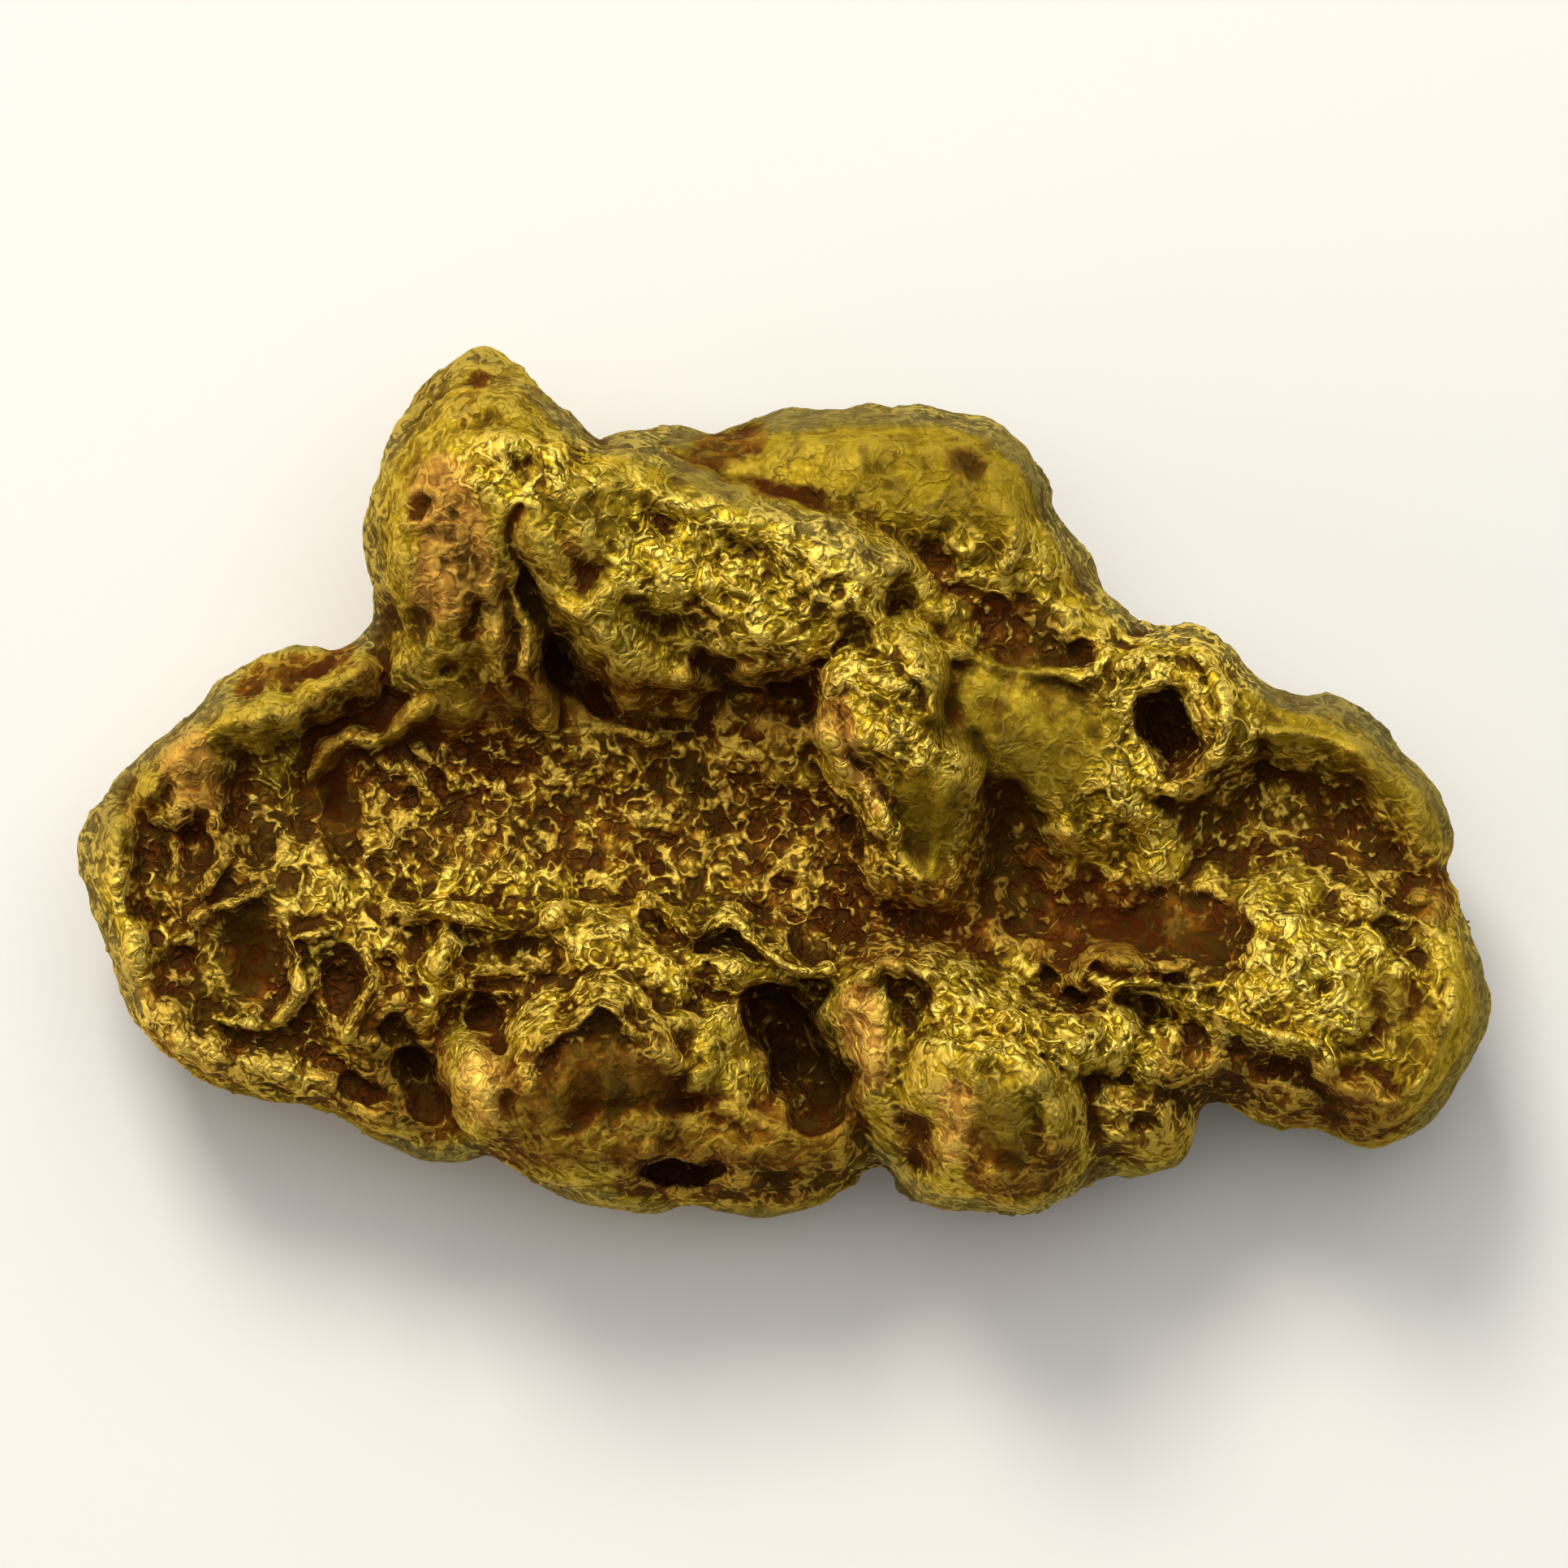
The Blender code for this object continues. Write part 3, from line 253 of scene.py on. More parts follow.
UPPER_HOLLOWS = {
    "centre basin": hollow([(-9.4, 0.4, 5.7), (-6.0, -0.7, 5.4), (-2.0, -1.3, 5.2), (1.2, -2.4, 5.2)],
        2.2, 1.0, 0.9, 3.2),
    "shelter": hollow([(-6.0, 3.2, 5.0), (-4.6, 2.2, 4.9), (-2.6, 1.7, 5.1), (-0.6, 2.0, 6.0)],
        0.6, 1.6, 1.6, 3.0),
    "red basin": hollow([(5.8, -1.1, 5.8), (5.4, -2.4, 5.0), (7.6, -3.5, 5.2), (10.4, -3.7, 5.8)],
        1.0, 1.0, 1.0, 2.2),
    "groove": hollow([(-6.6, 6.9, 11.0), (-6.85, 6.2, 10.2), (-6.75, 5.6, 9.5), (-6.45, 4.9, 8.8),
        (-6.1, 4.1, 7.7)], 0.24, 1.2, 0.6),
    "brow recess": hollow([(1.3, 3.4, 9.2), (1.8, 3.6, 9.2), (2.3, 3.4, 9.3)], 0.25, 1.2, 0.35),
    "under the brow": hollow([(-1.4, 2.7, 6.4), (0.6, 2.7, 6.8)], 0.45, 1.6, 1.0),
    "column's groove": hollow([(2.45, 0.0, 8.7), (2.8, -0.7, 8.2), (3.1, -1.5, 7.7)], 0.15, 1.2, 0.15),
    "crater": hollow([(9.45, 1.7, 4.6), (9.75, 1.15, 4.3), (10.15, 0.55, 4.6)], 0.6, 2.6, 3.2, 2.6, 0.3),
    "east basin": hollow([(10.9, -0.7, 6.3), (12.2, -0.8, 6.0), (13.6, -0.8, 5.9), (14.6, -1.1, 5.9),
        (15.6, -2.0, 6.0)], 1.2, 1.0, 1.0, 2.4),
    "plateau's foot": hollow([(10.4, -6.9, 6.8), (12.0, -7.4, 6.6)], 0.5, 0.9, 0.25),
    "east cleft": hollow([(16.5, -2.5, 6.8), (16.2, -3.6, 7.0)], 0.35, 0.8, 0.15),
    "south cave": hollow([(-0.35, -5.9, 3.6), (0.2, -6.3, 2.8), (0.4, -7.0, 2.6), (0.9, -8.0, 3.4)],
        0.85, 3.0, 3.6, 5.0, 0.3),
    "slot": hollow([(-3.6, -9.75, 5.2), (-3.1, -9.8, 3.6), (-2.6, -9.95, 3.2), (-2.1, -9.85, 3.6),
        (-1.7, -9.75, 5.0)], 0.3, 1.6, 2.2, 2.6, 0.2),
    "south-west cave": hollow([(-9.5, -7.2, 4.6), (-9.0, -8.0, 4.4)], 0.6, 2.0, 1.3, 3.0, 0.3),
    "cave's neck": hollow([(-10.0, -6.1, 5.2), (-9.6, -6.5, 4.8), (-9.4, -7.2, 4.0)],
        0.36, 1.6, 0.6, 2.4, 0.2),
    "dark bowl": hollow([(-7.7, -4.7, 5.9), (-6.1, -4.6, 6.0)], 0.6, 1.0, 0.45, 3.4),
    "red bowl": hollow([(-7.65, -6.1, 5.9)], 0.6, 1.1, 0.4, 3.4),
    "west bowl": hollow([(-13.5, -3.8, 5.7), (-13.5, -4.9, 5.4)], 0.85, 1.1, 0.4, 3.0),
    "west ring": hollow([(-14.8, -1.3, 5.4), (-15.0, -2.4, 5.4)], 0.55, 1.1, 0.3, 2.6),
    "west slot": hollow([(-13.3, -1.6, 5.8)], 0.5, 0.9, 0.25, 2.6),
    "west socket": hollow([(-15.3, -4.5, 6.0)], 0.7, 0.9, 0.25, 2.8),
    "middle bowl": hollow([(-11.3, -4.5, 6.1), (-11.2, -5.6, 6.1)], 0.5, 0.9, 0.3, 2.8),
    "middle socket": hollow([(-10.1, -4.5, 6.0)], 0.4, 0.8, 0.35, 3.0),
    "low socket": hollow([(-10.9, -7.7, 5.2), (-10.4, -7.8, 5.2)], 0.35, 0.9, 0.5, 3.0),
    "red wall": hollow([(-11.4, 0.4, 5.8), (-11.2, -0.7, 5.4)], 0.6, 1.0, 0.5, 3.0),
    "corner pit": hollow([(-10.9, 1.95, 6.2), (-10.4, 2.1, 6.2)], 0.32, 1.0, 0.45, 3.0),
    "peak's pit": hollow([(-7.7, 10.2, 7.4)], 0.28, 0.8, 0.25, 3.0, 0.2),
    "column slit": hollow([(-7.8, 4.4, 8.2), (-7.85, 3.8, 7.9)], 0.2, 0.8, 0.2, 2.0, 0.2),
    "dome's pit": hollow([(4.3, 8.15, 8.2), (4.7, 8.0, 8.1)], 0.2, 0.6, 0.15, 2.0, 0.3),
    "red hollow": hollow([(5.2, 4.2, 7.6), (5.6, 4.2, 7.6)], 0.4, 0.9, 0.25, 2.4),
    "bridge bowl": hollow([(3.25, -5.45, 7.2)], 0.55, 1.0, 0.35, 3.0, 0.3),
    "bridge hole": hollow([(7.5, -5.4, 6.0)], 0.38, 1.4, 0.5, 3.0, 0.2),
    "hook's bowl": hollow([(8.6, -5.6, 7.2), (9.3, -5.7, 7.0)], 0.42, 0.9, 0.25, 2.6, 0.3),
}

UPPER_RIDGES = {
    "peak's arc": ridge([(-9.9, 7.5, 9.2), (-9.0, 8.5, 9.9), (-8.0, 9.1, 10.4), (-6.9, 9.35, 10.7),
        (-6.0, 9.05, 10.9), (-5.0, 8.5, 11.0), (-4.2, 7.9, 10.9)], 0.6, 0.8, 0.5),
    "drip": ridge([(-7.2, 6.0, 10.3), (-7.0, 5.4, 10.0), (-6.85, 4.7, 9.6), (-6.45, 3.9, 9.0),
        (-6.5, 3.0, 8.5), (-6.15, 2.2, 7.7), (-6.0, 1.6, 7.0)], 0.3, 0.9),
    "brow's edge": ridge([(-0.8, 3.0, 9.2), (0.3, 3.3, 9.6), (0.9, 3.8, 10.0), (1.4, 4.4, 10.4),
        (1.8, 4.75, 10.6), (2.3, 4.2, 10.4), (2.5, 3.8, 10.3), (3.2, 3.1, 10.2), (3.7, 2.6, 10.2),
        (3.95, 1.8, 10.1)], 0.3, 0.9),
    "column's blade": crest([(1.5, 2.9, 9.9), (1.25, 2.1, 9.7), (1.2, 1.3, 9.4), (1.5, 0.5, 9.1),
        (2.0, -0.2, 8.8), (2.5, -1.0, 8.4), (2.9, -1.7, 7.9), (3.3, -2.3, 7.3)], 0.32, 1.0, 3.0, 0.6),
    "dome's edge": ridge([(3.2, 4.2, 8.8), (3.9, 3.5, 8.7), (4.9, 3.15, 8.5), (6.6, 2.75, 8.3),
        (7.8, 2.9, 8.25), (8.4, 3.3, 8.25)], 0.16, 0.5, 0.7),
    "crater's lip": ridge([(8.3, 2.4, 8.9), (9.0, 3.1, 9.1), (10.2, 3.35, 9.1), (11.0, 2.7, 9.2),
        (11.2, 1.6, 9.0), (10.7, 0.4, 8.6), (9.9, -0.1, 8.3)], 0.35, 0.9),
    "plateau's ledge": ridge([(10.4, -5.6, 8.3), (11.8, -6.1, 8.5), (13.4, -6.5, 8.8), (14.1, -7.6, 8.4),
        (15.6, -8.0, 8.0)], 0.32, 0.9),
    "bridge's line": ridge([(3.7, -4.8, 8.6), (4.3, -5.3, 8.7), (5.1, -5.55, 8.8), (5.9, -5.9, 9.0),
        (6.5, -6.7, 9.1), (7.2, -7.2, 8.7)], 0.15, 0.6, 0.5),
    "bowl's brow": ridge([(2.2, -5.0, 8.9), (2.7, -4.75, 9.0), (3.3, -4.8, 9.0), (3.8, -5.1, 8.9)],
        0.2, 0.7),
    "hook's brow": ridge([(7.65, -5.0, 7.9), (7.8, -4.55, 8.1), (8.4, -4.4, 8.2), (9.2, -4.65, 8.2),
        (10.2, -4.7, 8.1)], 0.18, 0.6, 0.6),
    "hook's inner brow": ridge([(8.25, -5.5, 7.8), (8.5, -5.15, 8.0), (9.1, -5.0, 8.1), (9.65, -5.2, 8.1)],
        0.16, 0.6, 0.4),
    "east fold": ridge([(14.3, -3.0, 7.6), (15.7, -3.5, 7.7)], 0.3, 0.7),
    "lower east fold": ridge([(15.2, -4.2, 7.6), (16.6, -4.1, 7.6)], 0.22, 0.7),
    "inner east fold": ridge([(16.8, -5.6, 8.1), (16.3, -6.8, 8.1), (15.9, -7.7, 7.9)], 0.25, 0.8),
    "knob's arch": crest([(4.2, -7.7, 9.5), (4.5, -7.1, 9.95), (5.2, -6.95, 10.0), (5.9, -7.15, 10.0),
        (6.4, -7.7, 9.95), (6.7, -8.3, 9.6), (6.9, -9.1, 9.1)], 0.34, 0.9, 2.2, 0.6),
    "chevron": ridge([(-7.2, -7.5, 8.6), (-6.3, -6.8, 9.2), (-5.3, -6.05, 9.7), (-4.4, -5.5, 10.0),
        (-3.8, -6.0, 9.8), (-3.2, -6.7, 9.3), (-2.7, -7.1, 8.8)], 0.36, 0.8, 0.8),
    "roof's hem": ridge([(-3.2, -9.0, 7.2), (-3.8, -9.6, 6.8), (-4.6, -9.95, 6.5), (-5.6, -10.0, 6.2),
        (-6.4, -9.8, 6.0)], 0.2, 0.7),
    "ledge's hem": ridge([(-3.2, -9.25, 6.9), (-2.0, -9.35, 6.7), (-0.8, -9.4, 6.6), (0.6, -9.5, 6.3),
        (1.8, -9.4, 6.2)], 0.2, 0.7),
    "zigzag": ridge([(-3.6, -2.8, 7.1), (-2.9, -3.3, 7.5), (-2.2, -3.9, 7.8), (-1.5, -3.35, 7.9),
        (-0.9, -3.8, 7.9), (0.3, -4.65, 8.1), (1.2, -4.75, 8.3)], 0.15, 0.7, 0.5),
    "basin's shore": ridge([(-10.0, -3.2, 7.3), (-8.5, -3.2, 7.7), (-7.0, -3.75, 7.9), (-5.9, -3.4, 7.7)],
        0.24, 0.7, 0.5),
    "west diagonal": ridge([(-14.9, -3.5, 7.0), (-13.8, -3.0, 7.2), (-12.8, -2.5, 7.0)], 0.2, 0.9),
    "west loop": ridge([(-14.5, -1.0, 7.0), (-14.2, -1.9, 7.1), (-14.7, -2.7, 6.9)], 0.18, 0.8, 0.2),
    "bowl's wall": ridge([(-12.4, -3.9, 7.0), (-12.2, -5.3, 7.0), (-13.2, -6.2, 6.7), (-14.4, -6.1, 6.6)],
        0.15, 0.7),
    "socket's wall": ridge([(-10.7, -4.0, 7.4), (-10.6, -5.2, 7.4), (-11.2, -6.5, 7.1)], 0.16, 0.7),
    "corner ridge": ridge([(-12.0, 0.3, 6.8), (-11.2, 1.2, 7.1), (-10.2, 1.3, 7.1), (-9.0, 2.1, 7.2)],
        0.18, 0.6, 0.5),
}

# The back, mapped from above. Its heights are depths below BACK_DATUM, so its crests point down, and
# those over BACK_DATUM are worn flat on the ground.
BACK = {
    "west foot": crest([(-14.2, -2.6, 6.2), (-12.0, -4.2, 6.25)], 3.2, 1.5, 2.0, 1.2),
    "east foot": crest([(11.6, -2.6, 6.2), (14.4, -4.8, 6.25)], 3.0, 1.5, 2.0, 1.2),
    "north foot": crest([(-7.4, 6.8, 6.25), (-5.8, 4.4, 6.2)], 2.5, 1.5, 2.0, 1.2),
    "north-east foot": crest([(2.2, 6.0, 6.15), (5.2, 4.2, 6.25)], 2.4, 1.4, 2.0, 1.2),
    "south foot": crest([(0.8, -7.4, 6.2), (4.8, -7.0, 6.25)], 2.2, 1.5, 2.0, 1.2),
    "south-west swell": crest([(-6.4, -6.4, 5.7), (-4.0, -7.8, 5.8)], 2.0, 1.3, 2.0, 1.0),
    "middle swell": crest([(-3.8, -0.8, 5.6), (-0.8, 0.6, 5.8), (1.2, -0.4, 5.5)], 1.6, 1.0, 2.0, 1.0),
    "long fold": crest([(-10.4, 2.0, 5.2), (-7.0, 0.6, 5.6), (-4.8, 2.4, 5.3)], 0.8, 1.0, 2.0, 0.8),
    "east fold": crest([(5.4, 1.8, 5.3), (8.0, 0.4, 5.6), (8.6, -2.2, 5.4), (6.6, -4.2, 5.3)],
        0.9, 1.0, 2.0, 0.8),
    "south-east swell": crest([(8.4, -7.8, 5.4), (10.0, -6.4, 5.6)], 1.2, 1.0, 2.0, 0.8),
    "belly hollow": hollow([(-2.8, -4.2, 3.9), (0.6, -3.2, 3.3), (3.8, -3.4, 3.8)],
        1.3, 1.0, 0.6, 2.0, 0.8),
    "north hollow": hollow([(-2.6, 4.2, 4.0), (-1.2, 5.8, 3.6), (-0.8, 7.4, 4.0)], 1.0, 1.0, 0.6, 2.0, 0.8),
    "west hollow": hollow([(-9.6, -2.6, 3.9), (-9.0, -0.8, 3.7)], 1.0, 1.0, 0.6, 2.0, 0.8),
    "east hollow": hollow([(9.9, 1.8, 4.2), (12.4, 0.6, 3.9)], 0.9, 1.0, 0.6, 2.0, 0.8),
    "south-east hollow": hollow([(11.4, -7.2, 4.0)], 0.9, 1.0, 0.6, 2.0, 0.8),
    "belly pit": hollow([(-2.2, 2.2, 4.0), (-1.7, 2.6, 4.2)], 0.5, 1.2, 0.6, 2.4, 0.4),
    "fold pit": hollow([(3.6, 0.4, 3.6), (4.2, 1.2, 3.8)], 0.5, 1.2, 0.6, 2.4, 0.4),
    "west pit": hollow([(-11.4, -0.8, 4.2)], 0.5, 1.2, 0.6, 2.4, 0.4),
    "south pit": hollow([(-1.6, -6.6, 3.6), (-1.2, -7.4, 3.8)], 0.5, 1.4, 0.6, 2.4, 0.4),
}

# Low marks on the upper face: how far they stand proud (or are sunk, below 0), half their width, and
# the line that each follows.
Mark = namedtuple("Mark", "rise width line")
MARKS = named(Mark, {
    "peak's bright boss": (0.4, 0.36, [(-7.7, 7.5), (-7.15, 7.9), (-6.9, 8.5)]),
    "peak's second boss": (0.35, 0.28, [(-5.9, 8.3), (-5.7, 7.7), (-5.3, 7.2)]),
    "peak's dimple": (-0.22, 0.25, [(-6.5, 7.95), (-5.95, 7.9)]),
    "peak's fold": (-0.12, 0.14, [(-8.3, 8.2), (-7.9, 7.4), (-8.2, 6.8)]),
    "tip's groove": (-0.14, 0.16, [(-7.7, 10.2), (-7.9, 9.6)]),
    "tip's crack": (-0.13, 0.1, [(-9.4, 9.3), (-9.1, 9.15), (-9.0, 8.9)]),
    "tip's fold": (0.12, 0.18, [(-9.3, 8.8), (-8.4, 9.5), (-7.2, 9.9), (-6.2, 9.4)]),
    "column's fold": (0.14, 0.22, [(-9.7, 6.4), (-9.5, 5.2), (-9.6, 4.2)]),
    "column's middle fold": (0.14, 0.2, [(-8.6, 5.4), (-8.5, 4.4), (-8.9, 3.4)]),
    "column's second rib": (0.3, 0.22, [(-7.6, 5.0), (-7.3, 4.3), (-7.2, 3.5), (-7.0, 2.8)]),
    "column's foot": (0.2, 0.26, [(-7.4, 3.6), (-7.0, 2.8), (-6.6, 2.1)]),
    "tongue's knuckle": (0.35, 0.5, [(-4.3, 4.9)]),
    "tongue's lip": (0.26, 0.16, [(-6.1, 4.95), (-5.6, 4.4), (-5.1, 4.15)]),
    "tongue's glint": (0.28, 0.2, [(-4.95, 4.4)]),
    "tongue's pit": (-0.22, 0.28, [(-5.6, 6.2), (-5.2, 5.7), (-4.9, 5.4)]),
    "tongue's seam": (-0.14, 0.14, [(-4.6, 6.6), (-3.9, 5.7), (-3.3, 4.9), (-3.5, 4.3), (-3.1, 3.4)]),
    "tongue's crease": (-0.13, 0.12, [(-3.4, 7.2), (-3.5, 6.0), (-3.1, 5.0), (-2.8, 4.2)]),
    "brow's dark crease": (-0.22, 0.17, [(-2.6, 4.4), (-2.0, 4.2), (-1.4, 3.7)]),
    "brow's second crease": (-0.2, 0.15, [(-2.5, 3.9), (-2.4, 3.2)]),
    "brow's fold": (0.2, 0.2, [(-2.3, 5.6), (-1.5, 5.7), (-1.2, 5.1)]),
    "brow's upper fold": (0.22, 0.16, [(-2.6, 6.1), (-2.0, 6.2), (-1.4, 5.8)]),
    "brow's hollow": (-0.18, 0.25, [(-0.3, 4.8), (0.2, 4.2)]),
    "brow's east knot": (0.3, 0.22, [(0.9, 4.8), (1.3, 4.5)]),
    "brow's west knot": (0.28, 0.2, [(-1.9, 5.0), (-1.7, 4.5)]),
    "brow's upper knot": (0.28, 0.2, [(0.2, 5.4), (0.7, 5.2)]),
    "brow's bright knot": (0.35, 0.22, [(-1.4, 4.1)]),
    "brow's knot": (0.3, 0.25, [(-1.1, 5.0)]),
    "brow's lower fold": (0.2, 0.18, [(-1.2, 4.2), (-0.6, 3.8), (0.3, 4.2), (0.9, 4.7)]),
    "brow's pit": (-0.12, 0.2, [(0.1, 5.0), (0.5, 4.7)]),
    "brow's shelf": (0.35, 0.4, [(-1.2, 1.7), (-0.2, 1.6), (0.7, 1.4)]),
    "shelf's edge": (0.3, 0.2, [(-1.4, 2.0), (-0.4, 2.1), (0.3, 2.1)]),
    "shelf's slit": (-0.2, 0.13, [(-2.9, 1.55), (-2.2, 1.4), (-1.6, 1.2)]),
    "shelf's crack": (-0.16, 0.1, [(0.1, 1.9), (0.3, 1.4), (0.8, 1.1)]),
    "column's top bead": (0.25, 0.25, [(2.4, 2.8), (3.0, 2.6)]),
    "column's wall": (0.1, 0.16, [(4.5, 0.9), (4.8, 0.0), (4.9, -0.8), (4.6, -1.6), (4.0, -2.1),
        (3.5, -2.3)]),
    "column's hollow": (-0.12, 0.5, [(3.6, -0.7), (3.65, -1.4)]),
    "saddle's fold": (-0.16, 0.1, [(4.9, 1.2), (5.15, 0.4), (5.25, -0.6)]),
    "saddle's low fold": (0.22, 0.2, [(5.9, -1.3), (6.4, -1.05), (7.1, -1.0), (7.5, -1.5), (7.3, -2.3)]),
    "column's upper crinkle": (0.25, 0.16, [(2.7, 1.8), (2.9, 1.3)]),
    "column's crinkle": (0.25, 0.16, [(2.6, 0.9), (3.1, 0.4), (3.5, 0.5)]),
    "column's glint": (0.25, 0.18, [(3.7, 1.7), (3.95, 1.75)]),
    "lower lip's pit": (-0.25, 0.16, [(1.5, -1.0), (1.6, -1.3)]),
    "dome's pit": (-0.2, 0.18, [(4.35, 8.15), (4.75, 8.0)]),
    "dome's small pit": (-0.16, 0.12, [(-0.7, 7.4), (-0.6, 7.3)]),
    "dome's second pit": (-0.16, 0.14, [(0.4, 7.35), (0.8, 7.25)]),
    "dome's third pit": (-0.13, 0.12, [(3.3, 8.6), (3.5, 8.55)]),
    "dome's knuckle": (0.25, 0.4, [(2.7, 8.5)]),
    "dome's bright fold": (0.25, 0.16, [(4.2, 6.2), (4.8, 5.8), (5.0, 5.2)]),
    "dome's dark pit": (-0.18, 0.18, [(3.8, 5.9), (4.1, 5.7)]),
    "dome's lower pit": (-0.2, 0.18, [(4.2, 4.9), (4.6, 4.8)]),
    "dome's crest": (0.25, 0.2, [(5.2, 7.2), (5.8, 6.6), (5.8, 5.6)]),
    "dome's furrow": (-0.2, 0.14, [(6.0, 5.6), (6.1, 4.6)]),
    "foot's fold": (0.2, 0.16, [(6.4, 5.2), (7.0, 4.4), (7.2, 3.7)]),
    "north stain's fold": (0.15, 0.15, [(-3.9, 8.5), (-3.3, 8.4)]),
    "valley's fold": (0.14, 0.14, [(-2.9, 7.9), (-2.2, 7.8)]),
    "crater's inner lip": (0.2, 0.16, [(10.3, 2.6), (10.7, 1.9), (10.5, 1.1)]),
    "crater's mouth": (-0.3, 0.3, [(9.9, 2.4), (10.2, 2.0)]),
    "crater's small pit": (-0.26, 0.22, [(9.4, -0.5), (9.7, -0.5)]),
    "crater's root": (0.25, 0.25, [(8.3, 0.9), (8.5, -0.3), (8.9, -1.1)]),
    "valley's pit": (-0.23, 0.2, [(7.9, -2.6), (8.1, -2.7)]),
    "valley's knuckle": (0.3, 0.35, [(7.1, -1.3)]),
    "east rim's line": (0.18, 0.14, [(12.3, 1.5), (13.4, 1.1), (14.6, 0.7), (15.4, 0.1)]),
    "east dot": (0.2, 0.16, [(11.9, 1.3), (12.3, 1.2)]),
    "east furrow": (-0.2, 0.14, [(13.2, -3.2), (14.5, -3.6), (15.9, -4.0)]),
    "east second furrow": (-0.2, 0.14, [(14.4, -3.9), (14.8, -5.0), (15.2, -5.8)]),
    "east fold": (0.25, 0.14, [(14.2, -2.8), (15.2, -3.0), (16.2, -2.9)]),
    "east third fold": (0.2, 0.12, [(15.0, -4.3), (15.8, -4.6), (16.2, -5.2)]),
    "plateau's pit": (-0.12, 0.28, [(13.6, -5.1)]),
    "plateau's bead": (0.25, 0.3, [(12.2, -4.4), (12.9, -4.5)]),
    "far rim's line": (0.2, 0.13, [(16.9, -5.0), (16.8, -6.0), (16.4, -7.0), (15.9, -7.7)]),
    "ledge's hollow": (-0.2, 0.3, [(12.3, -7.3), (12.9, -7.3)]),
    "lobe's fold": (0.2, 0.14, [(8.6, -8.3), (9.4, -8.6), (9.8, -9.2)]),
    "lobe's ring": (0.22, 0.14, [(8.7, -7.9), (9.0, -7.7), (9.25, -8.0), (9.0, -8.3)]),
    "lobe's pits": (-0.3, 0.15, [(9.0, -8.7), (9.3, -9.0)]),
    "lobe's second fold": (0.2, 0.13, [(8.2, -9.0), (8.9, -9.3), (9.4, -9.6)]),
    "bridge's fold": (0.2, 0.16, [(6.4, -6.0), (7.2, -6.5), (8.0, -6.3)]),
    "bridge's dark gap": (-0.4, 0.18, [(8.1, -5.7), (8.6, -6.0), (9.1, -6.1)]),
    "knob's gutter": (-0.35, 0.16, [(4.2, -6.35), (5.0, -6.2), (5.8, -6.4), (6.4, -6.9), (7.0, -7.4),
        (7.5, -7.8)]),
    "knob's bright bead": (0.25, 0.3, [(4.4, -7.0), (4.7, -7.4)]),
    "hook": (-0.14, 0.13, [(3.1, -8.5), (3.5, -8.6), (3.5, -9.0), (3.2, -9.1)]),
    "wall's fold": (0.22, 0.18, [(1.7, -5.3), (1.8, -6.1), (2.1, -6.9), (2.3, -7.8)]),
    "wall's crack": (-0.3, 0.09, [(1.4, -5.95), (2.1, -5.95)]),
    "cave's corner": (-0.6, 0.35, [(-0.6, -5.6)]),
    "chevron's seam": (-0.2, 0.12, [(-2.6, -6.35), (-2.2, -6.45), (-1.7, -6.4)]),
    "frame's pit": (-0.25, 0.2, [(-2.4, -5.7), (-2.1, -5.7)]),
    "frame's foot": (0.14, 0.14, [(-2.9, -5.9), (-2.2, -6.1), (-1.5, -6.0), (-1.2, -5.4)]),
    "frame's corner": (0.35, 0.24, [(-3.3, -5.6), (-2.8, -5.35), (-2.4, -5.1)]),
    "chevron's curl": (0.12, 0.13, [(-2.1, -6.8), (-1.8, -6.5), (-1.5, -6.8), (-1.8, -7.1)]),
    "roof's fold": (0.12, 0.2, [(-5.0, -6.6), (-5.6, -7.6), (-6.4, -8.3)]),
    "roof's groove": (-0.12, 0.1, [(-5.9, -6.9), (-5.1, -6.2), (-4.5, -5.8)]),
    "roof's face": (-0.1, 0.8, [(-5.4, -7.2), (-4.3, -6.9), (-3.9, -7.5)]),
    "roof's second fold": (0.12, 0.2, [(-4.2, -6.6), (-4.4, -7.8), (-4.9, -8.8)]),
    "shoulder's bead": (0.2, 0.2, [(-7.3, -8.3), (-6.9, -8.7)]),
    "ledge's fold": (0.15, 0.16, [(-3.0, -8.5), (-1.6, -8.3), (0.0, -8.7), (1.2, -9.0)]),
    "ledge's ridge": (0.3, 0.14, [(-2.5, -7.65), (-2.0, -7.3), (-1.6, -7.1)]),
    "ledge's edge": (0.25, 0.16, [(-6.2, -10.0), (-5.0, -10.1), (-4.0, -9.8), (-3.3, -9.2)]),
    "lip's lump": (0.45, 0.36, [(-1.5, -9.95), (-1.0, -9.9)]),
    "lip's seam": (-0.25, 0.12, [(-1.3, -10.45), (-0.2, -10.4), (0.8, -10.15), (1.7, -9.95)]),
    "lip's beads": (0.2, 0.16, [(-2.9, -10.5), (-2.3, -10.55), (-1.8, -10.4)]),
    "lip's hole": (-0.26, 0.14, [(1.05, -9.65)]),
    "middle's hump": (0.35, 0.4, [(-4.3, -3.7), (-3.7, -3.7)]),
    "middle's slit": (-0.35, 0.18, [(-5.8, -5.8), (-5.4, -5.45), (-5.0, -5.25)]),
    "middle's fold": (0.22, 0.15, [(-3.0, -4.9), (-2.0, -4.4), (-1.2, -4.7)]),
    "zigzag's dark": (-0.26, 0.18, [(-0.8, -3.1), (-0.2, -3.5)]),
    "basin's pit": (-0.26, 0.18, [(-0.1, -2.5), (0.2, -2.6)]),
    "basin's second pit": (-0.23, 0.2, [(0.4, -3.8), (0.7, -4.0)]),
    "red pit": (-0.5, 0.2, [(5.75, -3.65), (5.9, -3.65)]),
    "red second pit": (-0.5, 0.2, [(6.75, -4.8), (7.0, -4.75)]),
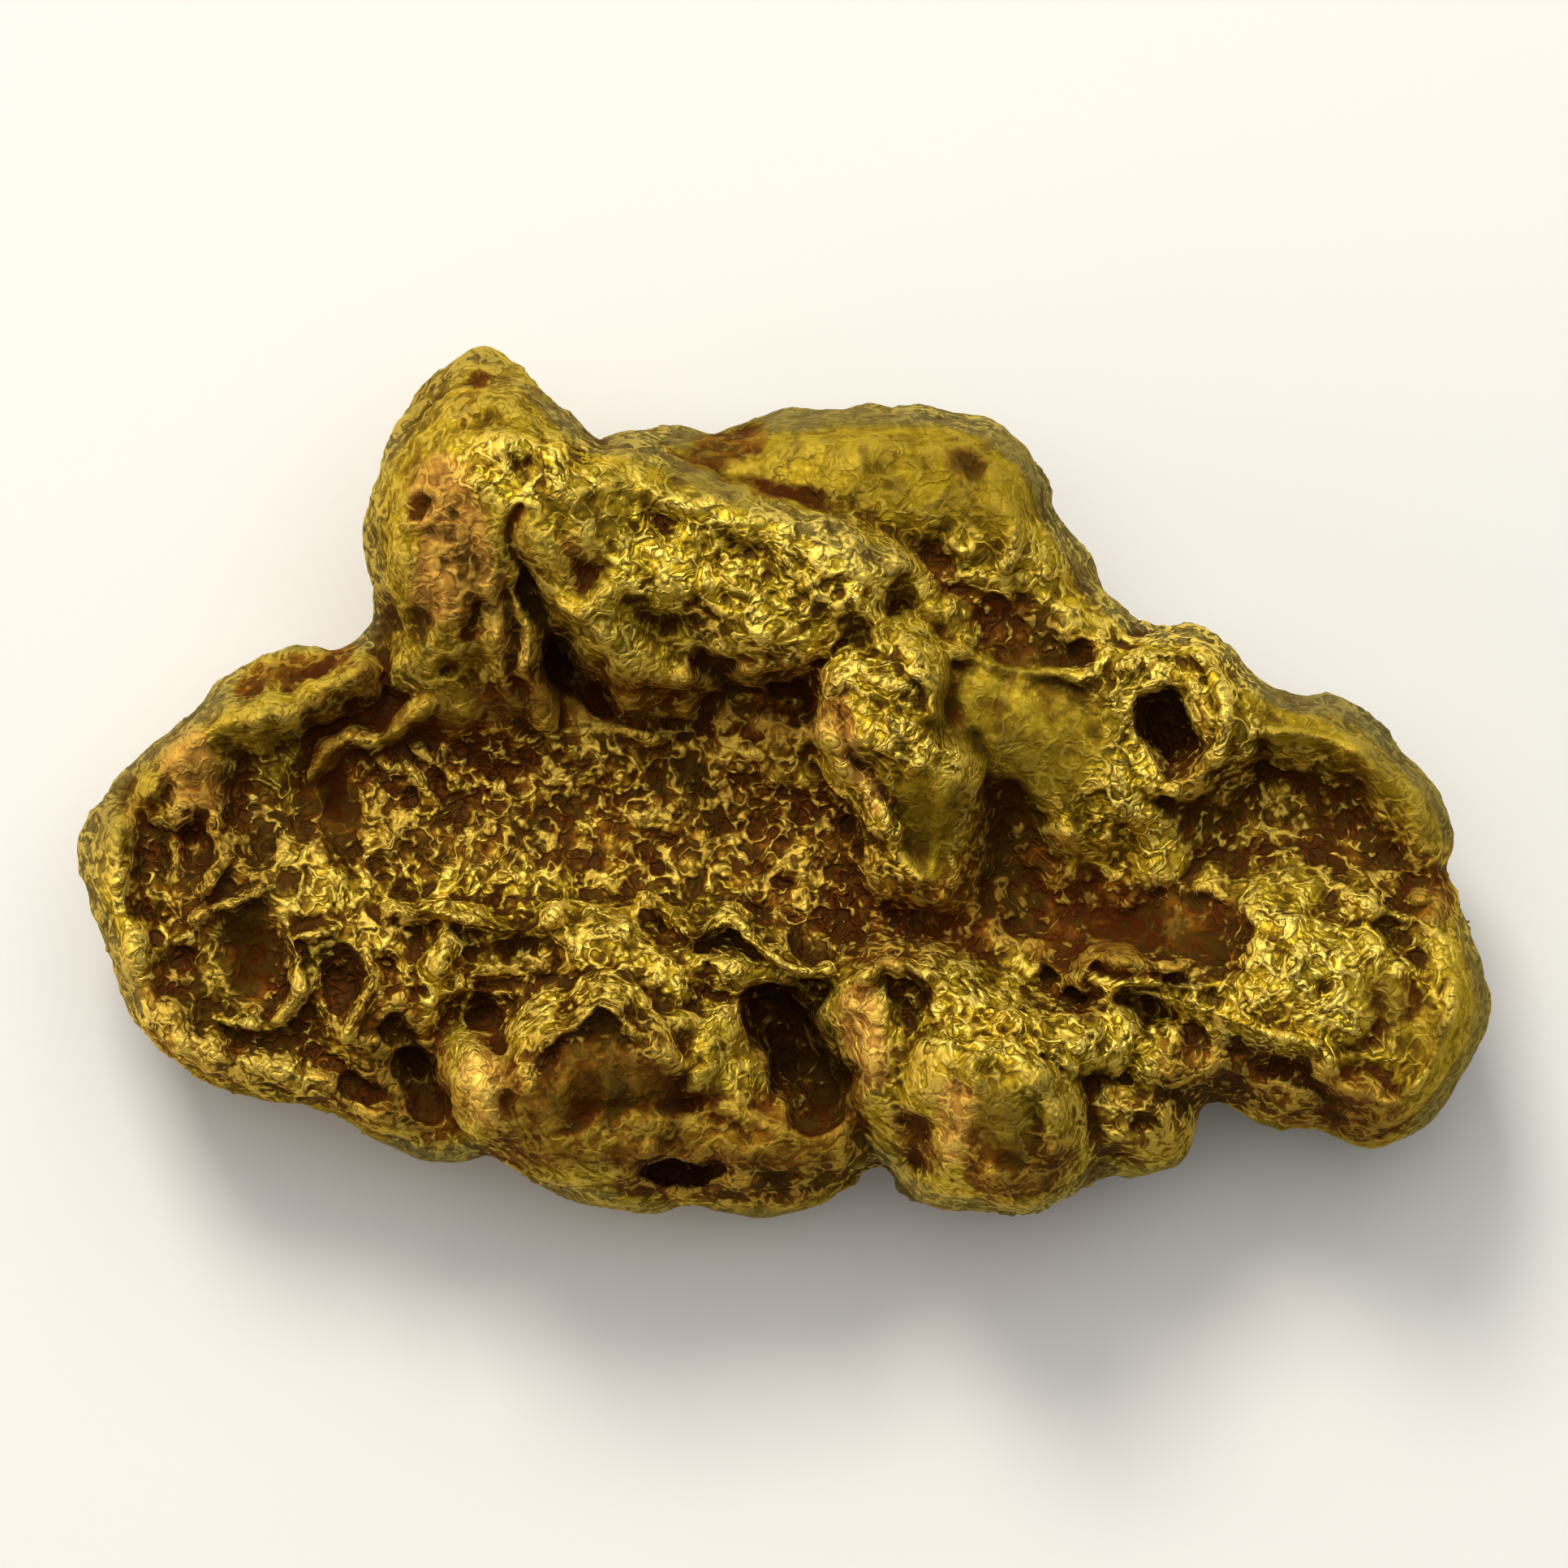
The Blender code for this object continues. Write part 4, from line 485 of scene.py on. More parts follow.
    "red third pit": (-0.29, 0.2, [(5.2, -2.5), (5.4, -2.5)]),
    "shore's bead": (0.35, 0.22, [(-8.5, -3.2), (-8.2, -3.5)]),
    "shore's rib": (0.3, 0.22, [(-8.5, -3.2), (-8.7, -4.4), (-8.9, -5.6), (-8.9, -6.5)]),
    "west slit": (-0.26, 0.12, [(-12.2, -3.55), (-11.6, -3.4), (-11.0, -3.3)]),
    "west slit's ridge": (0.3, 0.14, [(-12.5, -3.9), (-11.9, -3.8), (-11.3, -3.6)]),
    "west rim's slot": (-0.23, 0.12, [(-16.75, -1.3), (-16.7, -1.9)]),
    "west rim's bead": (0.2, 0.25, [(-17.5, -2.2), (-17.5, -2.7)]),
    "west rim's inner line": (0.2, 0.15, [(-16.2, -0.4), (-16.0, -0.9), (-15.2, -1.0)]),
    "west panel's edge": (0.2, 0.14, [(-15.6, 1.0), (-15.9, 0.2), (-15.7, -0.7)]),
    "west crest's line": (0.25, 0.18, [(-15.0, 1.2), (-14.0, 1.6), (-13.0, 1.65), (-12.0, 2.0)]),
    "west crest's second": (0.2, 0.14, [(-13.4, 2.5), (-12.6, 2.7), (-11.6, 2.5)]),
    "west bead": (0.2, 0.2, [(-15.5, -5.7), (-15.2, -5.9)]),
    "west socket's floor": (0.35, 0.3, [(-15.3, -4.9), (-14.9, -4.7)]),
    "bowl's foot": (0.3, 0.2, [(-13.6, -5.9), (-13.1, -5.6)]),
    "bowl's lower ridge": (0.25, 0.16, [(-14.5, -6.4), (-13.6, -6.55), (-12.8, -6.1)]),
    "middle bowl's rib": (0.3, 0.14, [(-11.7, -5.6), (-11.2, -6.4), (-10.4, -6.5)]),
    "low rib": (0.25, 0.14, [(-10.8, -8.4), (-9.9, -8.35), (-9.2, -8.6)]),
    "corner curl": (0.2, 0.13, [(-10.6, 0.9), (-10.3, 1.1), (-10.1, 0.8), (-10.3, 0.6)]),
    "shelter's slab": (-0.2, 0.2, [(-5.8, 2.7), (-5.3, 3.0)]),
    "slope's fold": (0.28, 0.14, [(-9.2, 0.9), (-8.6, 0.5), (-8.0, -0.2)]),
    "slope's second": (0.28, 0.14, [(-8.6, 1.0), (-8.0, 0.5), (-7.4, -0.1)]),
    "slope's third": (0.26, 0.14, [(-9.9, 0.4), (-9.2, 0.1), (-8.8, -0.6)]),
})

# Pits with a raised ring: middle, half width, half height, turn in degrees, rise of the ring, depth.
Ring = namedtuple("Ring", "x y across along turn rise depth")
RINGS = named(Ring, {
    "west eye": (-9.05, 6.95, 0.5, 0.42, 20, 0.16, 0.13),
    "west eye's brow": (-9.5, 7.6, 0.35, 0.25, 30, 0.08, 0.11),
    "column's curl": (-8.4, 2.95, 0.4, 0.4, 0, 0.16, 0.09),
    "column's slot": (-7.9, 4.15, 0.26, 0.6, -8, 0.06, 0.22),
    "tip's pit": (-7.7, 10.25, 0.26, 0.3, 0, 0.05, 0.19),
    "amber pit": (7.6, 3.35, 0.38, 0.34, 0, 0.06, 0.2),
    "valley's curl": (8.6, -2.75, 0.35, 0.32, 0, 0.1, 0.12),
    "valley's second curl": (9.7, -2.75, 0.42, 0.36, 20, 0.1, 0.12),
    "bridge's bowl": (3.25, -5.4, 0.6, 0.7, 40, 0.1, 0.11),
    "bridge's hole": (7.5, -5.4, 0.5, 0.45, 0, 0.12, 0.17),
    "hook's bowl": (9.0, -5.55, 0.7, 0.5, -10, 0.14, 0.14),
    "red bowl": (-7.65, -6.1, 0.66, 0.62, 0, 0.12, 0.08),
    "west ring": (-14.9, -1.7, 0.65, 0.95, -8, 0.16, 0.17),
    "west slot": (-13.4, -1.6, 0.7, 0.7, 0, 0.12, 0.14),
    "west bowl": (-13.5, -4.35, 0.8, 1.2, 0, 0.14, 0.11),
    "west socket": (-15.3, -4.7, 0.8, 0.8, 0, 0.12, 0.11),
    "middle bowl": (-11.3, -5.0, 0.6, 1.0, -10, 0.12, 0.14),
    "middle socket": (-10.0, -4.7, 0.42, 0.8, 5, 0.12, 0.14),
    "plateau's eye": (13.6, -5.1, 0.4, 0.4, 0, 0.06, 0.07),
    "ledge's eye": (14.8, -8.4, 0.5, 0.35, 0, 0.05, 0.11),
    "column's eye": (3.0, -3.0, 0.2, 0.2, 0, 0.05, 0.06),
})

# How crinkled the surface is: 0 is smooth and 1 is the roughest. A later zone goes over an earlier one.
Zone = namedtuple("Zone", "amount reach line")
CRINKLED = named(Zone, {
    "west": (0.75, 2.9, [(-14.4, -2.0), (-11.4, -4.6)]),
    "centre basin": (1.0, 2.4, [(-9.4, -0.9), (-5.0, -1.2), (-1.0, -1.4), (2.0, -2.9)]),
    "middle ground": (0.9, 1.4, [(-8.4, -4.8), (-4.0, -4.4), (0.0, -4.6)]),
    "red basin": (0.55, 1.4, [(4.6, -3.0), (7.6, -3.6), (10.4, -3.9)]),
    "brow": (0.8, 1.7, [(-2.4, 5.4), (-0.6, 4.8), (1.0, 4.6)]),
    "north column": (1.0, 1.0, [(1.8, 2.8), (2.6, 2.4), (3.1, 1.2), (3.5, 0.6)]),
    "column's front": (0.2, 0.8, [(3.6, -0.4), (3.6, -1.5)]),
    "plateau": (0.9, 2.1, [(10.9, -4.9), (13.4, -5.0)]),
    "bridge": (0.85, 1.2, [(3.2, -5.4), (6.8, -6.0), (9.8, -6.0)]),
    "south-east": (0.7, 1.3, [(8.6, -8.4), (12.4, -7.6)]),
    "east basin": (0.6, 1.7, [(11.8, -0.9), (15.2, -2.0)]),
    "east folds": (0.8, 1.0, [(14.8, -3.4), (15.8, -5.6)]),
    "east end": (0.3, 0.7, [(15.0, -5.4), (16.4, -6.4)]),
    "crater": (0.75, 1.1, [(8.3, 2.2), (9.2, 3.2), (10.7, 2.8), (11.0, 1.2), (9.0, 0.2), (8.6, -1.0)]),
    "dome's foot": (0.6, 1.2, [(4.4, 5.4), (6.8, 4.2)]),
    "south lip": (0.7, 0.8, [(-3.0, -10.1), (0.8, -10.0)]),
    "cave's wall": (0.5, 0.9, [(1.9, -5.8), (2.4, -7.8)]),
    "peak": (0.35, 1.7, [(-8.4, 7.6), (-5.4, 7.8)]),
    "peak's top": (0.8, 0.9, [(-7.4, 7.9), (-5.4, 7.8)]),
    "tip": (0.4, 1.1, [(-8.8, 9.6), (-6.8, 10.2)]),
    "west column": (0.4, 1.2, [(-8.9, 6.4), (-8.6, 3.6)]),
    "tongue": (0.5, 0.9, [(-5.2, 6.6), (-4.8, 4.6), (-3.4, 3.2)]),
    "dome": (0.2, 1.3, [(-1.6, 8.4), (2.0, 8.3), (5.4, 7.6)]),
    "saddle": (0.12, 1.6, [(5.4, 1.8), (6.6, 1.3)]),
    "basin's slope": (0.3, 0.5, [(-10.0, 1.3), (-7.4, 2.0), (-5.2, 2.1)]),
    "west panel": (0.25, 0.8, [(-15.2, 0.5), (-14.8, 0.0)]),
    "west rim's foot": (0.75, 0.8, [(-16.0, -6.2), (-13.6, -7.0), (-11.0, -7.8)]),
    "north-west rim": (0.4, 0.9, [(-16.8, -1.0), (-15.4, 1.0), (-13.2, 2.4), (-11.2, 3.0)]),
    "east rim": (0.3, 0.9, [(12.8, 1.9), (15.4, 0.8), (16.6, -0.8)]),
    "far east rim": (0.35, 0.6, [(17.4, -4.6), (17.4, -6.4), (16.4, -8.2)]),
    "roof": (0.15, 1.3, [(-5.6, -7.6), (-3.8, -7.6)]),
    "roof's crest": (0.7, 0.5, [(-6.6, -7.2), (-5.2, -6.0), (-4.4, -5.6), (-3.6, -6.2), (-2.6, -7.0)]),
    "south ledge": (0.35, 0.7, [(-6.0, -9.2), (-2.6, -8.8), (0.8, -9.0)]),
    "knob": (0.45, 1.2, [(4.6, -8.0), (6.2, -8.6)]),
    "knob's front": (0.2, 0.7, [(5.4, -8.2), (5.6, -9.0)]),
    "amber tongue": (0.15, 0.6, [(8.4, -3.6), (10.6, -3.9)]),
    "west bowl": (0.2, 0.7, [(-13.5, -3.9), (-13.5, -4.8)]),
    "red wall": (0.3, 0.6, [(-11.4, 0.4), (-11.2, -0.9)]),
})

# How much red-brown iron stain lies on the surface, painted in the same way. The zones for the shelter, the
# roof, the ledge, the ledge's foot and the south-east flank are painted shade instead, under the overhang and
# on slopes turned away from the light.
STAINED_AND_SHADED = named(Zone, {
    "centre basin": (0.72, 2.0, [(-9.6, -0.4), (-5.0, -0.8), (-1.0, -0.9), (0.8, -2.4)]),
    # painted shadow under the overhang
    "shelter": (0.8, 1.1, [(-8.8, 1.5), (-6.0, 2.2), (-4.0, 1.9), (-0.6, 1.6)]),
    "tip": (0.35, 1.2, [(-8.8, 9.4), (-7.2, 10.2)]),
    "saddle": (0.2, 1.6, [(5.4, 1.8), (6.6, 1.3)]),
    "peak": (0.22, 1.8, [(-8.6, 7.6), (-5.6, 6.8)]),
    "column": (0.3, 1.6, [(-9.0, 7.0), (-8.4, 3.4)]),
    "red basin": (0.95, 1.4, [(2.6, -3.7), (5.4, -2.8), (7.6, -3.6), (10.6, -3.8)]),
    "amber tongue": (0.8, 0.5, [(8.2, -3.3), (10.4, -3.7)]),
    "red hollow": (1.0, 0.8, [(5.6, -0.9), (6.0, -2.0)]),
    "middle ground": (0.45, 1.2, [(-7.6, -4.8), (-2.0, -4.6)]),
    "west": (0.56, 2.8, [(-14.6, -1.8), (-11.6, -4.4)]),
    "red wall": (1.0, 0.9, [(-11.4, 0.5), (-11.3, -0.9)]),
    "west ring": (1.0, 0.7, [(-14.8, -1.4), (-15.0, -2.8)]),
    "west slot": (0.85, 0.6, [(-13.4, -1.4), (-13.5, -2.3)]),
    "west bowl": (0.95, 0.9, [(-13.5, -3.8), (-13.4, -4.9)]),
    "west socket": (0.75, 0.7, [(-15.3, -4.6), (-15.4, -5.3)]),
    "west rim's foot": (0.6, 0.8, [(-15.6, -6.6), (-13.0, -7.4), (-10.6, -8.3)]),
    "corner pit": (1.0, 0.6, [(-11.6, 1.8), (-10.3, 2.1), (-10.4, 2.7)]),
    "north-west crack": (0.8, 0.35, [(-13.6, 2.5), (-12.6, 3.0), (-11.2, 3.2)]),
    "middle sockets": (0.75, 0.8, [(-11.1, -5.2), (-9.9, -4.8)]),
    "low socket": (0.95, 0.7, [(-11.2, -7.6), (-10.2, -7.8)]),
    "south-west cave": (1.0, 1.0, [(-9.9, -6.4), (-9.0, -8.2)]),
    "dark bowl": (0.6, 0.8, [(-7.6, -4.7), (-6.0, -4.6)]),
    "red bowl": (0.8, 0.6, [(-7.65, -6.1)]),
    # painted shade: the roof and the ledge below it face away from the light
    "roof": (0.85, 1.5, [(-5.8, -7.6), (-4.2, -7.0), (-3.6, -7.6)]),
    "ledge": (0.68, 1.1, [(-6.6, -9.0), (-3.0, -8.6), (1.2, -9.0)]),
    "slot": (1.0, 0.8, [(-3.6, -9.9), (0.8, -10.1)]),
    "south cave": (1.0, 1.1, [(-0.3, -5.9), (1.1, -8.0)]),
    "cave's wall": (0.35, 0.6, [(2.2, -5.8), (2.5, -7.4)]),
    "hook": (0.8, 0.6, [(3.2, -8.7), (3.6, -9.4)]),
    "knob's hollow": (0.95, 1.0, [(5.4, -9.6), (6.5, -9.6)]),
    "knob's front": (0.45, 0.8, [(5.2, -8.0), (5.6, -8.8)]),
    "bridge's bowl": (0.5, 0.5, [(3.2, -5.4)]),
    "bridge's hole": (1.0, 0.5, [(7.4, -5.4), (7.7, -5.6)]),
    "east basin": (0.55, 1.6, [(11.0, -0.8), (13.6, -0.9), (15.6, -2.2)]),
    "east stain": (0.95, 0.6, [(16.0, -2.3), (16.6, -3.0)]),
    "east folds": (0.45, 0.7, [(15.2, -6.2), (15.8, -4.8)]),
    # painted shade: the ledge's foot and the south-east flank face away from the light
    "ledge's foot": (0.75, 0.6, [(12.2, -7.6), (15.0, -8.5)]),
    "south-east flank": (0.9, 1.1, [(10.4, -7.2), (12.4, -7.7), (15.0, -8.6)]),
    "south-east lobe": (0.65, 1.1, [(8.2, -8.4), (9.6, -8.8)]),
    "crater": (0.8, 0.7, [(9.5, 1.7), (10.1, 0.6)]),
    "amber pit": (1.0, 0.4, [(7.65, 3.35)]),
    "dome's foot": (0.7, 0.7, [(5.2, 4.3), (6.2, 4.1), (6.8, 3.6)]),
    "dome's pits": (0.7, 0.4, [(3.8, 5.8), (4.4, 4.9)]),
    "dome's upper pit": (0.85, 0.4, [(4.3, 8.15), (4.7, 8.0)]),
    "north stain": (0.75, 0.45, [(-2.0, 8.4), (-1.0, 8.6), (-0.8, 8.75)]),
    "valley pits": (0.7, 0.3, [(-0.7, 7.4), (0.7, 7.3)]),
    "under the brow": (0.8, 0.6, [(-2.0, 2.6), (0.8, 2.7)]),
    "column's hollow": (0.0, 0.9, [(3.6, -0.4), (3.7, -1.5)]),
    "brow's crease": (0.6, 0.4, [(-2.4, 4.3), (-1.6, 3.8)]),
    "tongue's pit": (0.8, 0.45, [(-5.4, 5.8), (-5.1, 5.3)]),
    "groove": (0.6, 0.35, [(-6.7, 6.8), (-6.5, 5.2), (-5.9, 3.7)]),
    "column's slot": (0.9, 0.35, [(-7.9, 4.5), (-7.8, 3.8)]),
    "west eye": (0.7, 0.3, [(-9.05, 6.9)]),
    "tip's pit": (0.9, 0.25, [(-7.7, 10.3), (-7.8, 10.0)]),
    "tip's groove": (0.5, 0.35, [(-7.9, 9.9), (-8.0, 9.3)]),
})

# Where the gold is painted a warm copper-red, and how much: mostly a painted reflection of the warm light
# from the west on slopes that face it, partly a copper tint.
COPPERY_AND_WARM_LIT = named(Zone, {
    "west column": (0.9, 1.0, [(-8.6, 7.4), (-8.2, 6.0), (-8.6, 4.8)]),
    "column's edge": (0.7, 0.6, [(-7.4, 5.0), (-6.8, 3.4), (-6.4, 2.4)]),
    "west panel": (0.9, 0.8, [(-15.2, 0.9), (-14.8, -0.6)]),
    "west rim": (0.6, 0.4, [(-16.4, -0.9), (-16.4, -1.5)]),
    "west wall": (0.6, 0.5, [(-14.8, -3.4), (-13.7, -3.1)]),
    "shoulder": (0.9, 0.7, [(-7.7, -7.2), (-7.4, -8.2)]),
    "cave's wall": (1.0, 0.6, [(1.9, -5.6), (2.2, -7.2)]),
    "knob's flank": (0.9, 0.6, [(4.3, -7.9), (4.4, -9.2)]),
    "column's blade": (0.9, 0.4, [(1.4, 2.2), (1.6, 1.0), (2.4, -0.6)]),
    "shelf": (0.8, 0.5, [(-1.2, 1.6), (0.9, 1.5)]),
    "amber tongue": (0.6, 0.6, [(8.4, -3.6), (10.6, -3.9)]),
    "valley's knuckle": (0.6, 0.5, [(7.1, -1.3)]),
    "crater's lip": (0.5, 0.35, [(10.5, 2.1), (10.5, 1.2)]),
    "east end": (0.4, 0.8, [(15.0, -5.4), (16.2, -6.2)]),
    "south lip": (0.6, 0.4, [(-1.8, -10.0), (-0.8, -10.0)]),
    "low west rim": (0.7, 0.7, [(-16.6, -5.0), (-15.6, -6.6), (-14.0, -7.2)]),
    "low basin": (0.4, 0.7, [(-10.0, -3.2), (-9.0, -3.4)]),
})

# Where the gold is painted dull and pale besides the band along the rim: a painted reflection of the pale
# surroundings on slopes turned away from the light, with some wear.
RUBBED_AND_REFLECTED = named(Zone, {
    "behind the peak": (0.8, 0.7, [(-10.4, 7.2), (-9.8, 9.2), (-8.2, 10.4), (-6.2, 10.2), (-4.6, 8.9)]),
    "behind the ridge": (0.9, 0.4, [(-4.2, 8.5), (-2.4, 7.8), (-0.8, 7.0), (1.4, 6.2), (3.0, 5.5)]),
    "dome's edge": (0.4, 0.5, [(-3.0, 9.3), (2.0, 9.6), (5.6, 8.6), (6.8, 6.6)]),
    "west rim": (0.9, 0.6, [(-17.5, -2.4), (-16.8, -0.1), (-15.2, 1.6), (-12.9, 3.0)]),
    "east rim": (0.6, 0.5, [(13.0, 2.2), (15.6, 0.6), (16.9, -1.4)]),
    "roof's hem": (0.5, 0.35, [(-6.8, -9.7), (-5.0, -10.0), (-3.2, -9.1)]),
})


def closed_curve(points, steps):
    """Points on a smooth closed curve through the given ones, by Catmull and Rom's rule."""
    a = np.array(points, float)
    before, after, next_after = np.roll(a, 1, 0), np.roll(a, -1, 0), np.roll(a, -2, 0)
    found = []
    for step in range(steps):
        t = step / steps
        found.append(
            0.5 * (2 * a + (after - before) * t + (2 * before - 5 * a + 4 * after - next_after) * t**2
                   + (3 * a - before - 3 * after + next_after) * t**3)
        )
    return np.stack(found, 1).reshape(-1, a.shape[1])


def open_curve(points):
    """Points on a smooth curve from the first of the given points to the last."""
    a = np.array(points, float)
    if a.shape[1] == 2:
        a = np.column_stack([a, np.zeros(len(a))])
    if len(a) < 3:
        return a[[0, -1]]
    ends_doubled = np.vstack([a[:1], a, a[-1:], a[-1:]])
    loop = closed_curve(ends_doubled, LINE_STEPS)
    return loop[LINE_STEPS : LINE_STEPS * len(a) + 1]


def distance_to_line(corners, x, y):
    """How far each point (x, y) is from the line seen from above, and the line's z about there."""
    nearest, height, weight = np.full(x.shape, np.inf), np.zeros(x.shape), np.zeros(x.shape)
    for (ax, ay, az), (bx, by, bz) in zip(corners[:-1], corners[1:]):
        dx, dy = bx - ax, by - ay
        share = np.clip(((x - ax) * dx + (y - ay) * dy) / max(dx * dx + dy * dy, 1e-12), 0, 1)
        distance = np.hypot(x - ax - share * dx, y - ay - share * dy)
        near = (distance + NEAR_BLUNTING) ** NEAR_POWER
        height += near * (az + share * (bz - az))
        weight += near
        nearest = np.minimum(nearest, distance)
    return nearest, height / weight


def filleted_max(a, b, width):
    """The higher of two surfaces, with a fillet where they cross."""
    overlap = np.maximum(width - np.abs(a - b), 0) / width
    return np.maximum(a, b) + overlap * overlap * width / 4


def smooth_step(low, high, value):
    """0 up to low, 1 from high, and a soft slope between them."""
    share = np.clip((value - low) / (high - low), 0, 1)
    return share * share * (3 - 2 * share)


def map_points(step=MAP_STEP):
    """The x and y of every point of a map."""
    return np.meshgrid(*(np.arange(low, high, step) for low, high in zip(MAP_LOW, MAP_HIGH)))


def window(curve, reach):
    """The part of a map that lies within reach of a curve."""
    low = np.maximum((curve[:, :2].min(0) - reach - MAP_LOW) / MAP_STEP, 0).astype(int)
    high = ((curve[:, :2].max(0) + reach - MAP_LOW) / MAP_STEP).astype(int) + 1
    return slice(low[1], high[1]), slice(low[0], high[0])


def swayed(x, y):
    """The points moved aside by a slow random wander, which bends every form looked up at them."""
    noise.seed_set(SEED)
    wander = np.array([
        noise.turbulence_vector((px / SWAY_LENGTH, py / SWAY_LENGTH, 0.0), SWAY_OCTAVES, False)[:2]
        for px, py in zip(x.ravel(), y.ravel())
    ]).reshape(*x.shape, 2)
    shiver = np.array([
        noise.noise_vector((px / SHIVER_LENGTH, py / SHIVER_LENGTH, 3.0))[:2]
        for px, py in zip(x.ravel(), y.ravel())
    ]).reshape(*x.shape, 2)
    moved = SWAY * wander + SHIVER * shiver
    return x + moved[..., 0], y + moved[..., 1]


def worn(x, y):
    """A map of how battered each point is, -0.5 to 0.5."""
    return np.array([
        noise.noise((px / WEAR_LENGTH, py / WEAR_LENGTH, 7.0)) for px, py in zip(x.ravel(), y.ravel())
    ]).reshape(x.shape)


def relief(forms, level, x, y, wear):
    """The height over each point (x, y) of a face that starts level and takes its forms in order."""
    z = np.full(x.shape, level)
    for form in forms.values():
        curve = open_curve(form.line)
        part = window(curve, form.reach * (FORM_DROP / form.change) ** (1 / form.power) + FORM_MARGIN)
        distance, height = distance_to_line(curve, x[part], y[part])
        slope = form.change * (distance / form.reach) ** form.power
        if form.kind == "crest":
            height = height - WEAR * min(1.0, WORN_REACH / form.reach) * wear[part]
            z[part] = filleted_max(z[part], height - slope, form.blend)
            continue
        depth = filleted_max(-z[part], -height - slope, form.blend) + z[part]
        z[part] -= form.deepest * (1 - np.exp(-depth / form.deepest))
    return z


def add_marks(z, x, y, wear):
    """Raises and sinks the map z by the marks and the rings."""
    for mark in MARKS.values():
        curve = open_curve(mark.line)
        part = window(curve, MARK_SPREAD * mark.width + SMALL_MARGIN)
        distance, _ = distance_to_line(curve, x[part], y[part])
        z[part] += mark.rise * (1 - MARK_WEAR * wear[part]) * np.exp(-((distance / mark.width) ** 2))
    for ring in RINGS.values():
        spread = RING_SPREAD * max(ring.across, ring.along) + SMALL_MARGIN
        part = window(np.array([[ring.x, ring.y]]), spread)
        turn = math.radians(ring.turn)
        dx, dy = x[part] - ring.x, y[part] - ring.y
        across = (dx * math.cos(turn) + dy * math.sin(turn)) / ring.across
        along = (dy * math.cos(turn) - dx * math.sin(turn)) / ring.along
        out = np.hypot(across, along)
        wall = np.exp(-(((out - 1) / RING_WIDTH) ** 2))
        z[part] += ring.rise * wall - ring.depth * np.exp(-((out / RING_FLOOR) ** 4))


def painted(zones, level, x, y):
    """A map that starts level and takes each zone's amount where the zone is, with soft edges."""
    shade = np.full(x.shape, float(level))
    for zone in zones.values():
        curve = open_curve(zone.line)
        part = window(curve, ZONE_SPREAD * zone.reach + SMALL_MARGIN)
        distance, _ = distance_to_line(curve, x[part], y[part])
        cover = 1 - smooth_step(ZONE_FULL, ZONE_END, distance / zone.reach)
        shade[part] += cover * (zone.amount - shade[part])
    return shade


def looked_up(shade, x, y, step=MAP_STEP):
    """The map's value at each point (x, y)."""
    column, row = (x - MAP_LOW[0]) / step, (y - MAP_LOW[1]) / step
    c = np.clip(column.astype(int), 0, shade.shape[1] - 2)
    r = np.clip(row.astype(int), 0, shade.shape[0] - 2)
    u, v = np.clip(column - c, 0, 1), np.clip(row - r, 0, 1)
    return ((shade[r, c] * (1 - u) + shade[r, c + 1] * u) * (1 - v)
            + (shade[r + 1, c] * (1 - u) + shade[r + 1, c + 1] * u) * v)


def rounding(inset, radius):
    """Share of its full height that a face has reached at this distance in from the rim."""
    return np.sqrt(1 - (1 - np.clip(inset / radius, 0, 1)) ** 2)


RIM_CURVE = closed_curve([p for stretch in RIM.values() for p in stretch], RIM_STEPS)
RIM_ANGLE = np.arctan2(RIM_CURVE[:, 1] - MIDDLE[1], RIM_CURVE[:, 0] - MIDDLE[0])
RIM_ORDER = np.argsort(RIM_ANGLE)
RIM_REACH = np.hypot(RIM_CURVE[:, 0] - MIDDLE[0], RIM_CURVE[:, 1] - MIDDLE[1])


def along_rim(values, angle):
    """The rim's value in each direction from the middle."""
    return np.interp(angle, RIM_ANGLE[RIM_ORDER], values[RIM_ORDER], period=math.tau)


def inset_map():
    """How far each point of a coarse map is inside the rim, below 0 outside it."""
    x, y = map_points(COARSE_STEP)
    distance, _ = distance_to_line(np.vstack([RIM_CURVE, RIM_CURVE[:1]]), x, y)
    angle = np.arctan2(y - MIDDLE[1], x - MIDDLE[0])
    inside = np.hypot(x - MIDDLE[0], y - MIDDLE[1]) < along_rim(RIM_REACH, angle)
    return np.where(inside, distance, -distance)


def lump_points(sphere, upper, back, insets):
    """Where each point of a unit sphere goes on the nugget."""
    angle = np.arctan2(sphere[:, 1], sphere[:, 0])
    widest = along_rim(RIM_CURVE[:, 2], angle)
    share = np.hypot(sphere[:, 0], sphere[:, 1])
    reach = along_rim(RIM_REACH, angle)
    x = MIDDLE[0] + share * reach * np.cos(angle)
    y = MIDDLE[1] + share * reach * np.sin(angle)
    inset = looked_up(insets, x, y, COARSE_STEP)
    z = np.where(
        sphere[:, 2] >= 0,
        widest + (looked_up(upper, x, y) - widest) * rounding(inset, UPPER_ROUNDING),
        widest - (widest - looked_up(back, x, y)) * rounding(inset, UNDER_ROUNDING),
    )
    return np.column_stack([x, y, z])


def numbers_of(items, name, width):
    """One property of all of a mesh's items, a row for each."""
    found = np.empty(len(items) * width, np.float32)
    items.foreach_get(name, found)
    return found.reshape(-1, width).astype(float)


def move_points(mesh, points):
    mesh.vertices.foreach_set("co", points.astype(np.float32).ravel())
    mesh.update()


